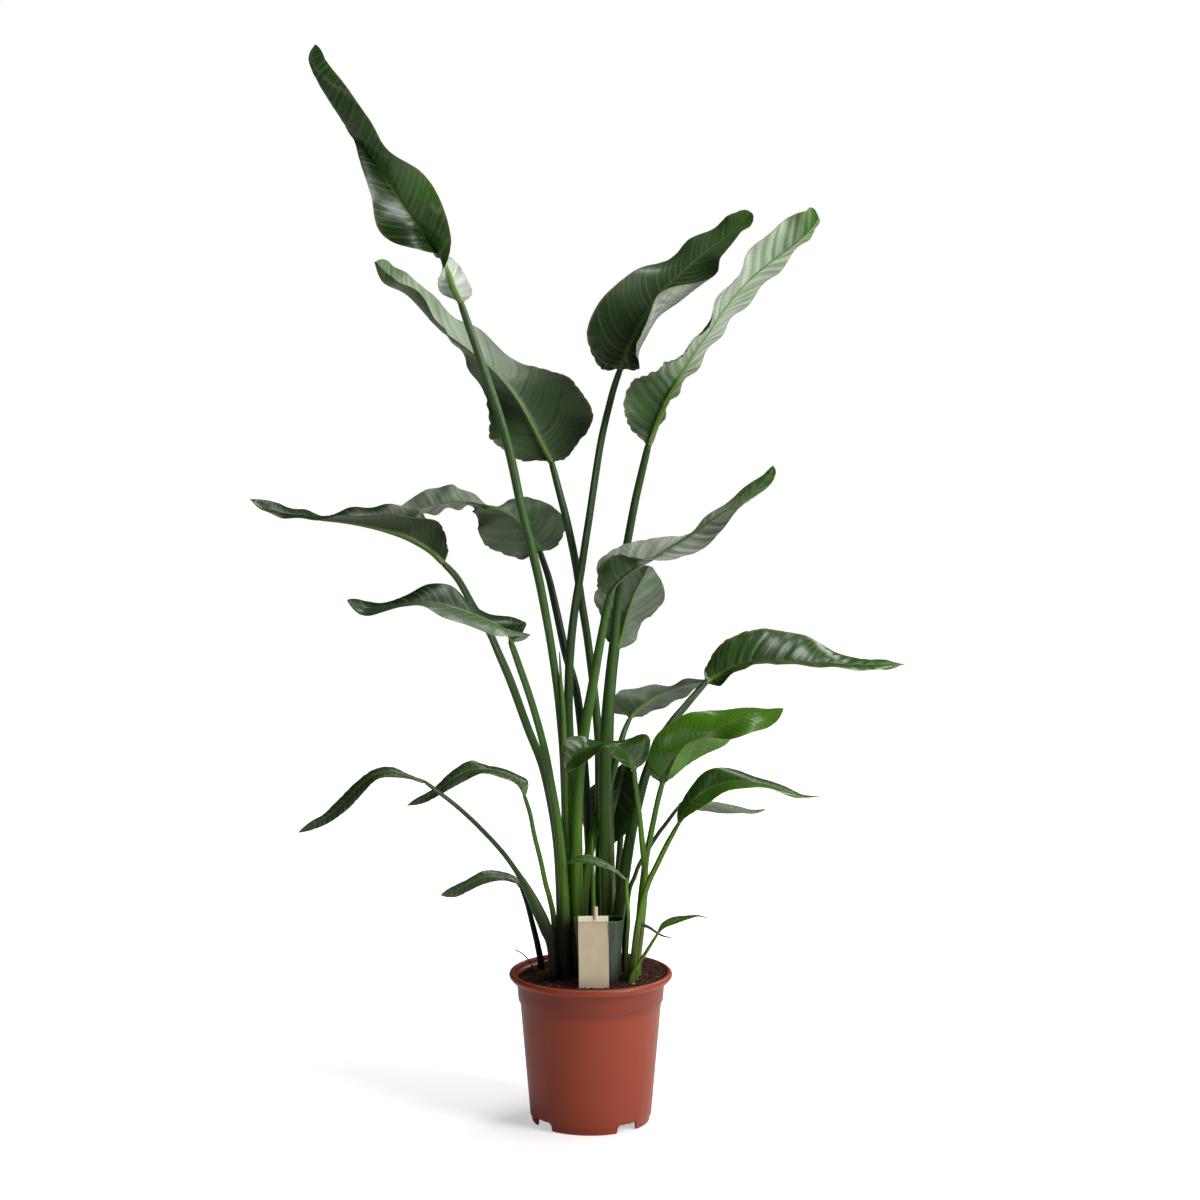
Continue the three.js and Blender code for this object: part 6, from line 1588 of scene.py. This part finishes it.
def label_outline():
    """The card's side view: its thickness towards the viewer and its height, round its fold."""
    thick, height = LABEL["thickness"], LABEL["height"]
    back = [(0, up) for up in np.linspace(0, height - 1.2 * thick, 16)]
    bend = arc((1.6 * thick, height - 1.6 * thick), 1.6 * thick, 180, 0, 9)
    flap = height - LABEL["fold"]
    flap_front = [(3.2 * thick, flap), (2.5 * thick, flap), (2.2 * thick, flap + 0.3)]
    inner = [(part * thick, height - drop * thick) for part, drop in ((2, 2.4), (1.5, 1.9), (1, 2.5))]
    face = [(thick, up) for up in np.linspace(height - 3 * thick, 0, 16)]
    return np.array(back + bend + flap_front + inner + face)


def label_body():
    """The folded card as a loft from its left edge to its right, a little bowed and turned."""
    towards, up = label_outline().T
    half = LABEL["width"] / 2
    rings = []
    for across in np.linspace(-half, half, LABEL_COLUMNS):
        bow = LABEL_BOW * (across / half) ** 2 * np.clip((up - 20) / 60, 0, 1)
        rings.append(np.stack([
            across * math.cos(LABEL["turn"]) + up * math.sin(LABEL["turn"]),
            -towards - bow,
            up * math.cos(LABEL["turn"]) - across * math.sin(LABEL["turn"]),
        ], axis=1))
    return closed_loft(np.stack(rings) + np.array([LABEL["across"], LABEL["depth"], LABEL["foot"]]))


def brown_card():
    """Uncoated card: level fibres, dark flecks, a lighter fold and a damp foot."""
    material, tree = new_material("brown_card")
    place = object_place(tree)
    height = height_of(tree, place)
    fibre = clouds(tree, stretched(tree, place, (260, 900, 900)), 3.0)
    fold_line = LABEL["foot"] + LABEL["height"] - LABEL["fold"]
    folded = ease(tree, height, (fold_line - 0.2) * MM, (fold_line + 0.2) * MM)
    damp = ease(tree, height, *[(LABEL["foot"] + rise) * MM for rise in LABEL_DAMP])
    colour = mix_colour(tree, clouds(tree, place, 60.0), linear(206, 190, 158), linear(196, 180, 150))
    colour = tint(tree, colour, fibre, 0.35, (222, 208, 180))
    colour = tint(tree, colour, specks(tree, place, 700.0, 0.3, 0.12), 0.5, (120, 98, 72))
    colour = tint(tree, colour, folded, 1, (236, 226, 198))
    colour = tint(tree, colour, damp, 0.5, (110, 84, 62))
    finish_material(tree, colour, ease(tree, fibre, 0.0, 1.0, 0.72, 0.85), bump(tree, fibre, 0.35, 0.06),
                    specular_ior_level=0.3)
    return material


def pale_wood():
    """Bare pale wood with upright grain."""
    material, tree = new_material("pale_wood")
    place = object_place(tree)
    grain = long_lines(tree, place, 900.0, 0.05)
    rings = long_lines(tree, place, 350.0, 0.03)
    colour = mix_colour(tree, rings, linear(226, 206, 168), linear(206, 180, 138))
    colour = tint(tree, colour, grain, 0.4, (178, 148, 104))
    finish_material(tree, colour, ease(tree, grain, 0.0, 1.0, 0.5, 0.65), bump(tree, grain, 0.5, 0.12))
    return material


def peg_body():
    """The round peg with softened ends."""
    half = PEG["height"] / 2
    radius = PEG["radius"]
    side = [(radius - 0.5, 0.01 - half), (radius, 0.6 - half), (radius - 0.3, half - 0.7),
            (radius - 0.8, half - 0.1), (radius - 1.6, half)]
    points, faces = lathe([(0.4, -half), *side, (0.3, half)], PEG_SIDES)
    return points + np.array([PEG["across"], PEG_DEPTH, PEG["foot"] + half]), faces


make_piece("label_card", *label_body(), brown_card(), "label_card", "label", 30)
peg = make_piece("split_peg", *peg_body(), pale_wood(), "peg_wood", "peg")
slot_ends = [
    [(PEG["across"] + x * 3 * PEG["radius"], PEG_DEPTH + y * PEG["slot"] / 2, PEG["foot"] + rise)
     for x, y in ((-1, -1), (1, -1), (1, 1), (-1, 1))]
    for rise in (-1, PEG["grip"])
]
carve(peg, [make_cutter("peg_slot", *slot_ends)])

# Dry bits
# A brown dried leaf sliver that hangs out of the stalks at the right, and a dead root end that stands out of
# the soil at the left lip.
DRY_SECTION = 1.5
DRY_SIDES = 24
DRY_SHRINK = 0.92

# How flat each is, and at each point: across, up and depth in the front view, and its half width
DRY_STEMS = {
    "dry_sliver": (1.0, [[73, 290, -55.9, 2.2], [79, 289, -57, 2.4], [87, 285, -59, 2.2], [97, 278, -61, 1.8],
        [107, 273, -63, 1.2], [118, 271, -65, 0.6]]),
    "dry_root": (0.95, [[-80, 206, 38, 1.2], [-84, 224, 38, 1.2], [-90, 236, 38, 1.1], [-100, 247, 38, 0.9],
        [-111, 253, 38, 0.8]]),
}


def dry_leaf():
    """Dead brown leaf: cloudy, with pale lengthwise fibres."""
    material, tree = new_material("dry_leaf")
    place = object_place(tree)
    cloud = clouds(tree, place, 180.0)
    lines = long_lines(tree, place, 700.0, 0.1)
    colour = mix_colour(tree, cloud, linear(44, 42, 34), linear(86, 74, 56))
    colour = tint(tree, colour, lines, 0.4, (128, 116, 92))
    finish_material(tree, colour, ease(tree, cloud, 0.0, 1.0, 0.6, 0.8), bump(tree, lines, 0.6, 0.3))
    return material


def dry_stem(points, flatness):
    """A shrunken stem, wrinkled along, and flatter than it is wide where the flatness is under 1."""
    middles, radii, _, side, front, turns = stem_frame(points, DRY_SECTION, DRY_SIDES)
    wrinkle = 1 + 0.12 * np.sin(5 * turns + middles[:, :1] / 6) + 0.06 * np.sin(9 * turns)
    radius = radii[:, None] * wrinkle * DRY_SHRINK
    return closed_loft(rings_round(middles, radius, side * flatness, front, turns))


dry_material = dry_leaf()
for name, (flatness, points) in DRY_STEMS.items():
    make_piece(name + "_husk", *dry_stem(points, flatness), dry_material, "dry_leaf", name)
